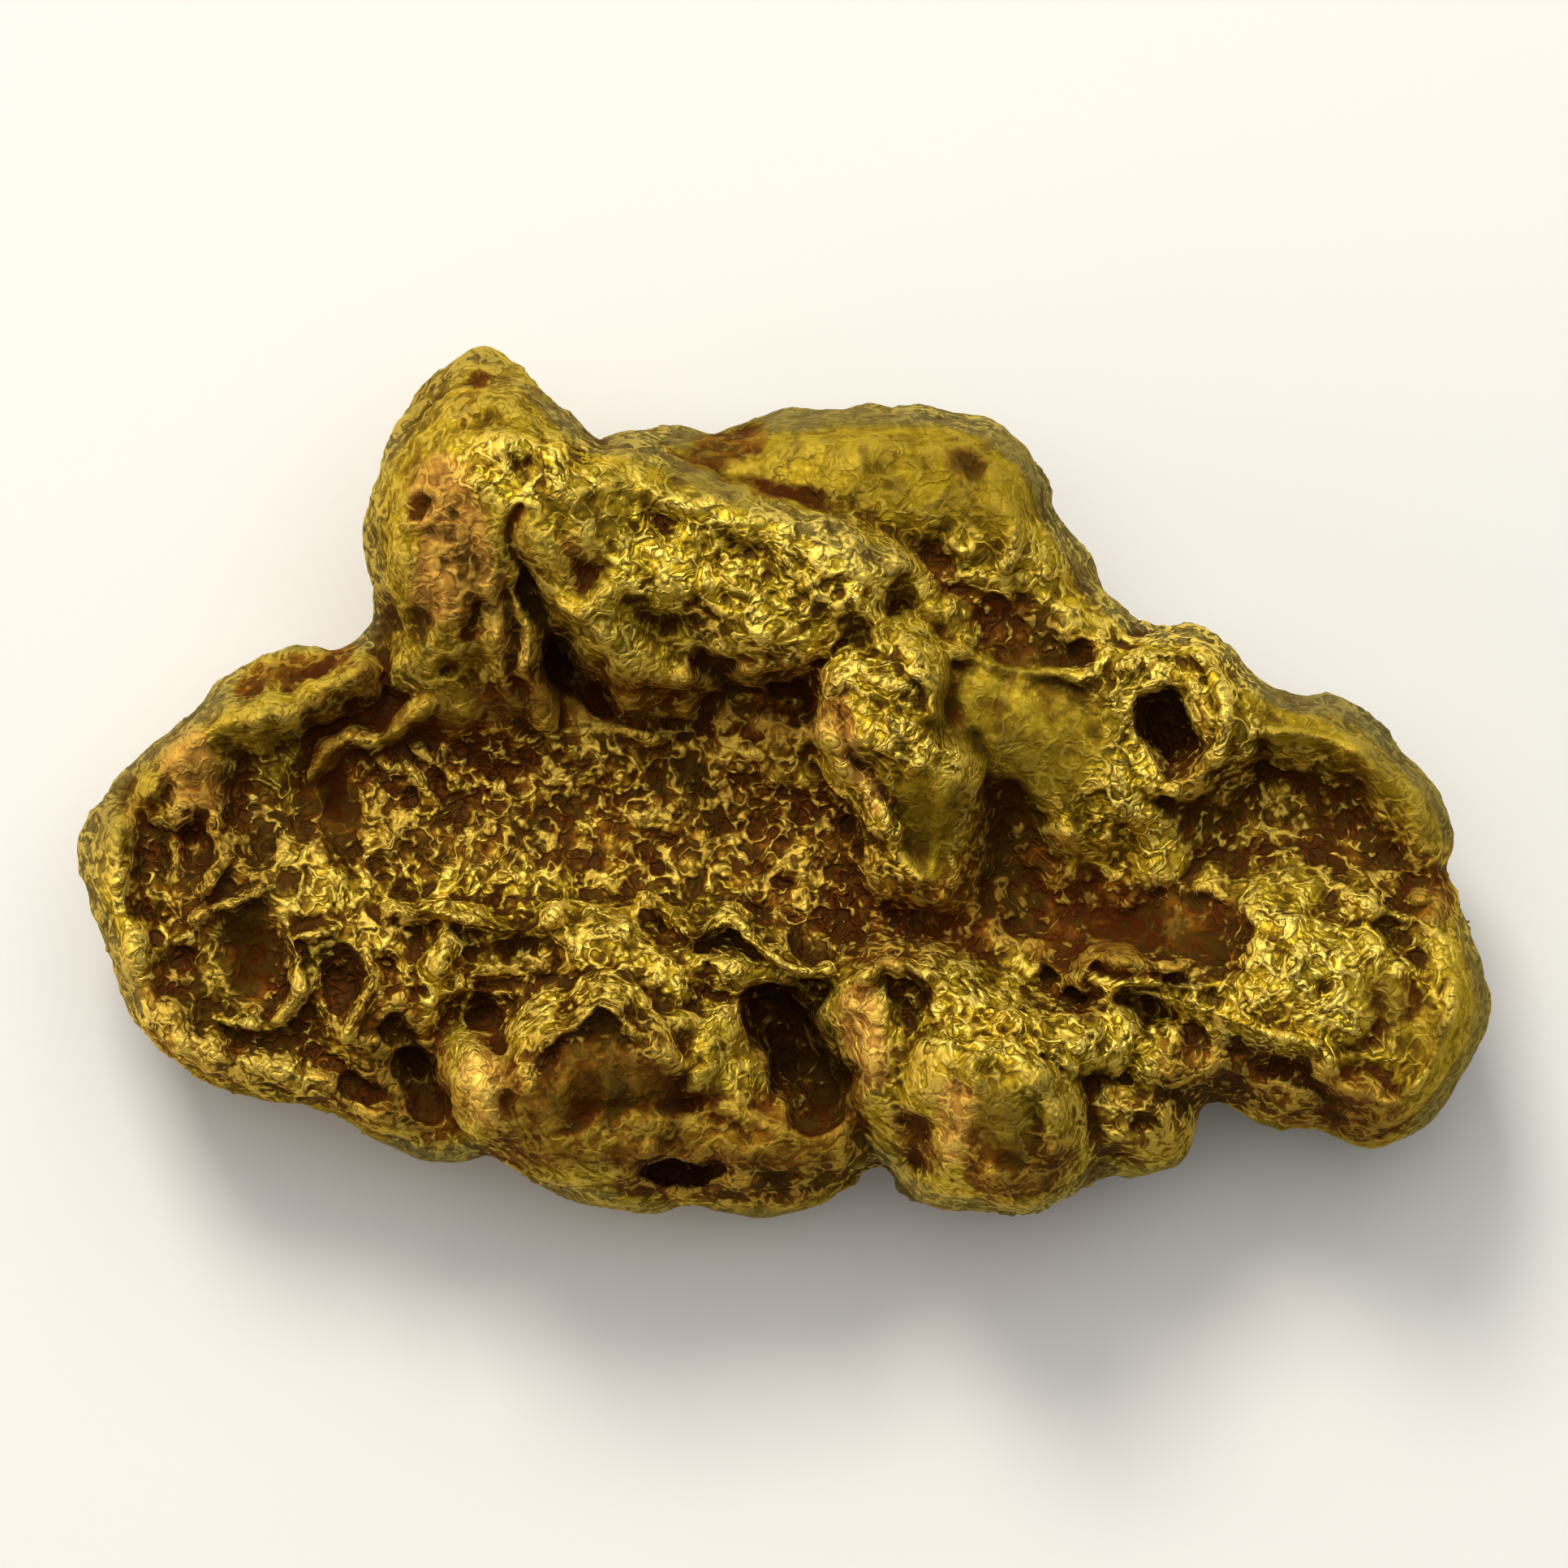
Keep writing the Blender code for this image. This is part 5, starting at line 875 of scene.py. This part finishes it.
def crinkle(points, rough):
    """How far each point of the surface moves out, for folds, plates and grains, where rough is 0 to 1."""
    noise.seed_set(SEED)
    long_fold, short_fold, plate, grain, swell = np.zeros((5, len(points)))
    for i, (x, y, z) in enumerate(points.tolist()):
        wx, wy, wz = noise.noise_vector((x / BEND_LENGTH, y / BEND_LENGTH, z / BEND_LENGTH)) * BEND
        x, y, z = x + wx, y + wy, z + wz
        long_fold[i] = noise.noise((x / LONG_FOLD, y / LONG_FOLD, z / LONG_FOLD))
        short_fold[i] = noise.noise((x / SHORT_FOLD + 9, y / SHORT_FOLD, z / SHORT_FOLD))
        near, next_near = noise.voronoi((x / PLATE, y / PLATE, z / PLATE + 5))[0][:2]
        plate[i] = next_near - near
        grain[i] = noise.noise((x / GRAIN, y / GRAIN, z / GRAIN))
        swell[i] = noise.noise((x / SWELL + 3, y / SWELL, z / SWELL))
    # Folds stand where a noise passes through 0, and die out where the swell is low.
    folds = np.exp(-((long_fold / 0.13) ** 2)) + 0.8 * np.exp(-((short_fold / 0.17) ** 2)) - 0.7
    folds *= smooth_step(-0.35, 0.15, swell)
    plates = np.minimum(plate * 2.2, 1.0) - 0.6
    rough = np.clip(rough, 0, 1)
    return (
        0.08 * rough**1.3 * folds
        + 0.04 * rough * plates
        + (0.012 + 0.02 * rough) * grain
        + (0.03 + 0.13 * rough) * swell
    )


def neighbours_mean(values, edges, count):
    """The mean of each point's neighbours' values."""
    total = np.zeros_like(values)
    for column in range(values.shape[1]):
        total[:, column] = (
            np.bincount(edges[:, 0], values[edges[:, 1], column], len(values))
            + np.bincount(edges[:, 1], values[edges[:, 0], column], len(values))
        )
    return total / count[:, None]


def hollowness(points, normals, edges, steps):
    """How far each point lies below the surface smoothed by so many steps."""
    count = np.maximum(np.bincount(edges.ravel(), minlength=len(points)), 1)
    smooth, found, done = points.copy(), [], 0
    for wanted in steps:
        while done < wanted:
            smooth = neighbours_mean(smooth, edges, count)
            done += 1
        found.append(((smooth - points) * normals).sum(1))
    return found


def patchiness(points):
    """A random value at each point, about -0.5 to 0.5, for what no table paints on the back."""
    return np.array([
        noise.noise((x / BACK_PATCH, y / BACK_PATCH, z / BACK_PATCH)) for x, y, z in points.tolist()
    ])


def both_faces(points, upper_map, back):
    """The map's values on the upper face and the given ones on the back, softly joined."""
    top = smooth_step(*FACES_MEET, points[:, 2])
    return top * looked_up(upper_map, points[:, 0], points[:, 1]) + (1 - top) * back


def rubbed_and_reflected_share(points, inset, rubbed_reflection_map, stain_and_shade_map):
    """How pale and dull the gold is painted at each point, a painted reflection of the pale surroundings with
    some rubbing: most in a band along the rim, less where it is stained.
    """
    band = 1 - smooth_step(0.5 * RIM_REFLECTION_BAND, 1.3 * RIM_REFLECTION_BAND, inset)
    rubbed_reflection = np.maximum(
        band * smooth_step(*RIM_REFLECTION_HEIGHTS, points[:, 2]), both_faces(points, rubbed_reflection_map, 0.0)
    )
    return 0.85 * rubbed_reflection * (1 - looked_up(stain_and_shade_map, points[:, 0], points[:, 1]))


def apply_modifiers(obj):
    bpy.context.view_layer.objects.active = obj
    for modifier in list(obj.modifiers):
        bpy.ops.object.modifier_apply(modifier=modifier.name)


def add_attribute(mesh, name, values):
    layer = mesh.attributes.new(name, "FLOAT", "POINT")
    layer.data.foreach_set("value", values.astype(np.float32))


def make_nugget():
    """The whole nugget as one object in metres, with its finish's maps as attributes."""
    x, y = map_points()
    sway = swayed(x, y)
    wear = worn(x, y)
    upper = relief({**UPPER_MASSES, **UPPER_HOLLOWS, **UPPER_RIDGES}, FLOOR_OF_BASIN, *sway, wear)
    add_marks(upper, *sway, wear)
    back = BACK_DATUM - relief(BACK, BACK_LEVEL, *sway, wear)
    rough_map = painted(CRINKLED, 0.5, *sway)
    stain_and_shade_map = painted(STAINED_AND_SHADED, 0.1, *sway)
    insets = inset_map()

    bpy.ops.object.select_all(action="DESELECT")
    bpy.ops.mesh.primitive_ico_sphere_add(subdivisions=SPHERE_LEVEL, radius=1.0)
    nugget = bpy.context.object
    nugget.name = "nugget"
    mesh = nugget.data
    move_points(mesh, lump_points(numbers_of(mesh.vertices, "co", 3), upper, back, insets))

    lumps = bpy.data.textures.new("lumps", "CLOUDS")
    lumps.noise_scale = LUMP_SIZE
    lumps.noise_depth = 1
    uneven = nugget.modifiers.new("uneven_surface", "DISPLACE")
    uneven.texture = lumps
    uneven.strength = LUMP_RISE
    uneven.mid_level = 0.5
    even = nugget.modifiers.new("even_faces", "REMESH")
    even.mode = "VOXEL"
    even.voxel_size = VOXEL
    apply_modifiers(nugget)

    mesh = nugget.data
    points = numbers_of(mesh.vertices, "co", 3)
    normals = numbers_of(mesh.vertices, "normal", 3)
    rough = both_faces(points, rough_map, np.clip(0.45 + 0.9 * patchiness(points), 0.1, 1.0))
    points += normals * crinkle(points, rough)[:, None]
    move_points(mesh, points)

    thin_out = nugget.modifiers.new("fewer_faces", "DECIMATE")
    thin_out.ratio = min(1.0, MOST_TRIANGLES / (2 * len(mesh.polygons)))
    nugget.modifiers.new("triangles", "TRIANGULATE")
    apply_modifiers(nugget)

    mesh = nugget.data
    points = numbers_of(mesh.vertices, "co", 3)
    normals = numbers_of(mesh.vertices, "normal", 3)
    edges = np.empty(len(mesh.edges) * 2, np.int32)
    mesh.edges.foreach_get("vertices", edges)
    fine, middling, deep = hollowness(points, normals, edges.reshape(-1, 2), HOLLOW_STEPS)
    patches = patchiness(points)
    inset = looked_up(insets, points[:, 0], points[:, 1], COARSE_STEP)
    for name, values in {
        "fine_hollow": fine,
        "crinkled": both_faces(points, rough_map, np.clip(0.3 + 0.6 * patches, 0.1, 0.7)),
        "middling_hollow": middling,
        "deep_hollow": deep,
        "stain_and_shade": both_faces(points, stain_and_shade_map, np.clip(0.25 + 0.8 * patches, 0.0, 0.8)),
        "copper_and_warm_light": both_faces(points, painted(COPPERY_AND_WARM_LIT, 0.05, *sway), 0.2),
        "rubbed_reflection": rubbed_and_reflected_share(points, inset, painted(RUBBED_AND_REFLECTED, 0.0, *sway), stain_and_shade_map),
    }.items():
        add_attribute(mesh, name, values)

    low, high = (np.array(corner) / MM for corner in CAD_BOX)
    middle = (points.min(0) + points.max(0)) / 2
    points[:, :2] -= middle[:2]
    points[:, :2] *= (high[0] - low[0]) / np.ptp(points[:, 0])
    points[:, 2] = np.maximum(points[:, 2], 0.0)  # the feet are worn flat
    move_points(mesh, points * MM)
    bpy.ops.object.shade_smooth()
    return nugget


class Nodes:
    """The node tree of one material, with short ways to add and join its nodes."""

    def __init__(self, name):
        self.material = bpy.data.materials.new(name)
        self.material.use_nodes = True
        self.tree = self.material.node_tree
        self.tree.nodes.clear()
        self.where = self.add("ShaderNodeTexCoord").outputs["Object"]

    def add(self, kind, settings=None, **inputs):
        """A new node, where Some_Name stands for the input called Some Name."""
        node = self.tree.nodes.new(kind)
        for name, value in (settings or {}).items():
            setattr(node, name, value)
        for name, value in inputs.items():
            self.put(node.inputs[name.replace("_", " ")], value)
        return node

    def put(self, socket, value):
        """Joins a socket to the value, or sets it."""
        if isinstance(value, bpy.types.NodeSocket):
            self.tree.links.new(value, socket)
        else:
            socket.default_value = value

    def attribute(self, name):
        return self.add("ShaderNodeAttribute", {"attribute_name": name}).outputs["Fac"]

    def noise(self, scale, detail, roughness, distortion=0.0):
        return self.add("ShaderNodeTexNoise", Vector=self.where, Scale=scale, Detail=detail,
                        Roughness=roughness, Distortion=distortion).outputs["Fac"]

    def math(self, operation, *values):
        node = self.add("ShaderNodeMath", {"operation": operation})
        for socket, value in zip(node.inputs, values):
            self.put(socket, value)
        return node.outputs[0]

    def weighed(self, *parts):
        """The sum of (value, weight) pairs."""
        total = 0.0
        for value, weight in parts:
            total = self.math("MULTIPLY_ADD", value, weight, total)
        return total

    def ramp(self, value, low, high, to_low=0.0, to_high=1.0):
        """Value brought from low..high to to_low..to_high, with a soft start and end."""
        node = self.add("ShaderNodeMapRange", {"interpolation_type": "SMOOTHSTEP"})
        for socket, number in zip(node.inputs, (value, low, high, to_low, to_high)):
            self.put(socket, number)
        return node.outputs[0]

    def vector(self, operation, first, second=None, scale=None):
        node = self.add("ShaderNodeVectorMath", {"operation": operation})
        self.put(node.inputs[0], first)
        if second is not None:
            self.put(node.inputs[1], second)
        if scale is not None:
            self.put(node.inputs["Scale"], scale)
        return node

    def bent(self, scale, reach):
        """The place on the piece, moved aside by a random wander as wide as reach."""
        wander = self.add("ShaderNodeTexNoise", Vector=self.where, Scale=float(scale), Detail=2.0)
        moved = self.vector("SCALE", wander.outputs["Color"], scale=reach)
        return self.vector("ADD", self.where, moved.outputs[0]).outputs[0]

    def folds(self, where, scale, width):
        """Winding folds, broken off here and there: (1 along the middle of each, 1 along its two edges)."""
        winding = self.add("ShaderNodeTexNoise", Vector=where, Scale=float(scale), Detail=1.0).outputs["Fac"]
        aside = self.math("ABSOLUTE", self.math("SUBTRACT", winding, 0.5))
        fold = self.ramp(aside, 0.2 * width, width, 1.0, 0.0)
        beside = self.math("ABSOLUTE", self.math("SUBTRACT", aside, 1.15 * width))
        edge = self.ramp(beside, 0.0, 0.35 * width, 1.0, 0.0)
        broken = self.add("ShaderNodeTexNoise", Vector=where, Scale=1.3 * scale, Detail=0.0).outputs["Fac"]
        kept = self.ramp(broken, 0.4, 0.5)
        return self.math("MULTIPLY", fold, kept), self.math("MULTIPLY", edge, kept)

    def blebs(self, where, scale):
        """Small rounded blebs: (height over the gaps between them, height of each one's own tilt)."""
        place = self.vector("SCALE", where, scale=scale).outputs[0]
        bleb = self.add("ShaderNodeTexVoronoi", Vector=place, Scale=1.0)
        out = self.vector("SUBTRACT", place, bleb.outputs["Position"]).outputs[0]
        lean = self.vector("SUBTRACT", bleb.outputs["Color"], (0.5, 0.5, 0.5)).outputs[0]
        tilt = self.vector("DOT_PRODUCT", out, lean).outputs["Value"]
        return self.ramp(bleb.outputs["Distance"], 0.12, 0.7, 1.0, 0.0), tilt

    def blend(self, share, first, second):
        """The first colour where share is 0 and the second where it is 1."""
        node = self.add("ShaderNodeMix", {"data_type": "RGBA"})
        self.put(node.inputs["Factor"], share)
        self.put(node.inputs["A"], first)
        self.put(node.inputs["B"], second)
        return node.outputs["Result"]


def named_inputs(node, values):
    """Sets a node's inputs by name."""
    for name, value in values.items():
        node.inputs[name].default_value = value


def make_gold():
    """Native gold: painted paler on its folds as a highlight, coppery and painted warm on slopes facing the
    west, rusty in its hollows, soil in its pits, painted shade in its creases and on some slopes turned from
    the light.
    """
    gold = Nodes("native_gold")
    fine, middling, deep, crinkled, rubbed_reflection, stain_and_shade, coppery_and_warm_lit = (
        gold.attribute(name)
        for name in ("fine_hollow", "middling_hollow", "deep_hollow", "crinkled", "rubbed_reflection", "stain_and_shade", "copper_and_warm_light")
    )
    smooth = gold.ramp(crinkled, 0.2, 0.8, 1.0, 0.0)

    # Random patterns, from the widest to the finest.
    patches = gold.noise(320, 5.0, 0.6)
    mottle = gold.noise(1150, 4.0, 0.62, 0.5)
    flecks = gold.noise(2600, 4.0, 0.65)
    grain = gold.noise(8000, 3.0, 0.6)

    # Winding folds and the blebs between them.
    bent = gold.bent(1500, 0.0005)
    long_fold, long_edge = gold.folds(bent, 1250, 0.07)
    short_fold, short_edge = gold.folds(bent, 2500, 0.1)
    fold = gold.math("MAXIMUM", long_fold, gold.math("MULTIPLY", short_fold, 0.85))
    edges = gold.math("MAXIMUM", long_edge, gold.math("MULTIPLY", short_edge, 0.8))
    bleb, tilt = gold.blebs(bent, 4100)
    raised = gold.weighed((fold, 0.6), (bleb, 0.4), (fine, -4.0), (middling, -1.1))

    # The metal itself, duller where it is smooth.
    tone = gold.blend(gold.ramp(patches, 0.35, 0.65), YELLOW_GOLD, OLIVE_GOLD)
    tone = gold.blend(gold.weighed((smooth, 0.5), (flecks, 0.5)), tone, WORN_GOLD)
    tone = gold.blend(gold.ramp(mottle, 0.46, 0.64, 0.0, 0.85), tone, DARK_OLIVE)
    # Painted warm reflection on slopes that face the west light, partly a copper tint.
    copper_and_warm_light = gold.ramp(gold.weighed((coppery_and_warm_lit, 1.0), (flecks, 0.9), (patches, 0.5)), 0.95, 1.75)
    tone = gold.blend(copper_and_warm_light, tone, COPPERY_WARM_LIT_GOLD)
    # Painted pale reflection along the rim and on slopes turned away, with some rubbing.
    dulled_and_reflecting = gold.ramp(gold.weighed((rubbed_reflection, 1.0), (patches, 0.6), (flecks, 0.4)), 0.75, 1.45)
    tone = gold.blend(dulled_and_reflecting, tone, RUBBED_REFLECTION_GOLD)
    # Stain, and painted shade on the slopes turned from the light.
    tarnish_and_shade = gold.ramp(gold.weighed((stain_and_shade, 1.0), (patches, 0.4)), 0.5, 1.2, 0.0, 0.8)
    tone = gold.blend(tarnish_and_shade, tone, TARNISHED_GOLD)

    # Rust gathers in the stained zones and the hollows, and stays off what is raised; where the stain map
    # paints shade, it darkens slopes turned from the light.
    rust_and_shade = gold.ramp(
        gold.weighed(
            (stain_and_shade, 0.95),
            (gold.math("MULTIPLY", raised, crinkled), -0.85),
            (fine, 1.5),
            (gold.math("MAXIMUM", middling, -0.1), 1.2),
            (gold.math("MAXIMUM", deep, 0.0), 0.17),
            (flecks, 1.1),
            (patches, 0.6),
        ),
        0.7, 1.6,
    )
    redder = gold.ramp(gold.weighed((mottle, 1.0), (middling, -0.7)), 0.4, 0.6)
    browner = gold.ramp(gold.weighed((flecks, 1.0), (patches, 1.0)), 0.95, 1.15, 0.0, 0.75)
    earth = gold.blend(redder, IRON_STAIN, OCHRE_STAIN)
    tone = gold.blend(rust_and_shade, tone, gold.blend(browner, earth, UMBER_STAIN))

    # The raised folds show through it in clean gold, painted paler as a highlight, with painted shade and
    # some dirt in the creases and in dark lines beside them, and soil in the pits.
    rough_share = gold.ramp(crinkled, 0.2, 0.85, 0.12, 0.9)
    fold_highlight = gold.math("MULTIPLY", gold.ramp(raised, 0.35, 0.75), rough_share)
    tone = gold.blend(fold_highlight, tone, gold.blend(tarnish_and_shade, FOLD_HIGHLIGHT_GOLD, TARNISHED_GOLD))
    # Painted shade in the low creases and beside the folds, partly dirt.
    low = gold.ramp(raised, -0.2, 0.15, 0.8, 0.0)
    crease_shade = gold.math("MULTIPLY", gold.math("MAXIMUM", low, edges), gold.ramp(crinkled, 0.1, 0.8, 0.15, 0.85))
    tone = gold.blend(crease_shade, tone, CREASE_SHADE_AND_DIRT)
    soil = gold.ramp(gold.weighed((fine, 4.0), (middling, 1.1), (deep, 0.22), (flecks, 0.4)), 0.85, 1.7)
    tone = gold.blend(soil, tone, SOIL)

    finish = gold.add("ShaderNodeBsdfPrincipled")
    named_inputs(finish, {"Specular Tint": EDGE_TINT, "Specular IOR Level": 0.25})
    gold.put(finish.inputs["Base Color"], tone)
    covered = gold.weighed((rust_and_shade, 0.2), (soil, 0.25))
    gold.put(finish.inputs["Metallic"], gold.math("SUBTRACT", 0.86, covered))
    gold.put(finish.inputs["Roughness"], gold.weighed(
        (rust_and_shade, 0.1), (soil, 0.15), (grain, 0.3), (flecks, 0.4), (patches, 0.4),
        (fold, 0.04), (smooth, 0.2), (rubbed_reflection, 0.1), (stain_and_shade, 0.1),
    ))
    wrinkles = gold.weighed((fold, 0.6), (bleb, 0.35), (tilt, 0.12), (flecks, 0.2))
    crinkles = gold.math("MULTIPLY", wrinkles, gold.math("MULTIPLY_ADD", crinkled, 0.9, 0.1))
    height = gold.weighed((crinkles, 1.0), (grain, 0.03), (flecks, 0.06))
    bump = gold.add("ShaderNodeBump", Height=height, Strength=1.0, Distance=LEAF_RISE * MM)
    gold.put(finish.inputs["Normal"], bump.outputs["Normal"])
    out = gold.add("ShaderNodeOutputMaterial")
    gold.put(out.inputs["Surface"], finish.outputs[0])
    return gold.material


def make_table():
    """A plain pale table top, wide enough for every view."""
    bpy.ops.object.select_all(action="DESELECT")
    bpy.ops.mesh.primitive_plane_add(size=3.0, location=(0, 0, 0))
    table = bpy.context.object
    table.name = "table_top"
    paint = Nodes("pale_paint")
    finish = paint.add("ShaderNodeBsdfPrincipled", Roughness=0.7)
    finish.inputs["Base Color"].default_value = (0.72, 0.71, 0.69, 1.0)
    out = paint.add("ShaderNodeOutputMaterial")
    paint.put(out.inputs["Surface"], finish.outputs[0])
    table.data.materials.append(paint.material)


def add_softbox(name, place, size, power, colour):
    """A square soft light that faces the nugget."""
    light = bpy.data.lights.new(name, "AREA")
    light.shape = "SQUARE"
    light.size = size
    light.energy = power
    light.color = colour
    lamp = bpy.data.objects.new(name, light)
    bpy.context.scene.collection.objects.link(lamp)
    lamp.location = place
    lamp.rotation_euler = (-Vector(place)).to_track_quat("-Z", "Y").to_euler()
    lamp.visible_camera = False


def light_studio():
    """A soft window to the north, a wide panel overhead and a warm card to the west."""
    add_softbox("key_window", (-0.12, 0.36, 0.42), 0.18, 2.3, (1.0, 0.96, 0.86))
    add_softbox("sky_panel", (0.0, 0.3, 0.6), 0.8, 4.0, (0.98, 0.98, 0.95))
    add_softbox("warm_card", (-0.5, -0.02, 0.16), 0.3, 1.0, (1.0, 0.80, 0.62))
    room = bpy.data.worlds.new("dim_room")
    room.use_nodes = True
    named_inputs(room.node_tree.nodes["Background"], {"Color": (0.92, 0.95, 1.0, 1.0), "Strength": 0.2})
    bpy.context.scene.world = room
    bpy.context.scene.view_settings.view_transform = "Standard"


def place_camera():
    """A long lens straight above, with +Y at the top of the picture."""
    lens = bpy.data.cameras.new("overhead_camera")
    lens.sensor_width = 36.0
    lens.lens = 300.0
    lens.clip_start = 0.01
    distance = PICTURE_WIDTH * MM * lens.lens / lens.sensor_width
    camera = bpy.data.objects.new("overhead_camera", lens)
    camera.location = (0.0, 0.0, distance + FOCUS_HEIGHT * MM)
    bpy.context.scene.collection.objects.link(camera)
    bpy.context.scene.camera = camera


nugget = make_nugget()
nugget.data.materials.clear()
nugget.data.materials.append(make_gold())
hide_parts("gold_nugget")
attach(nugget, "root")
make_table()
light_studio()
place_camera()
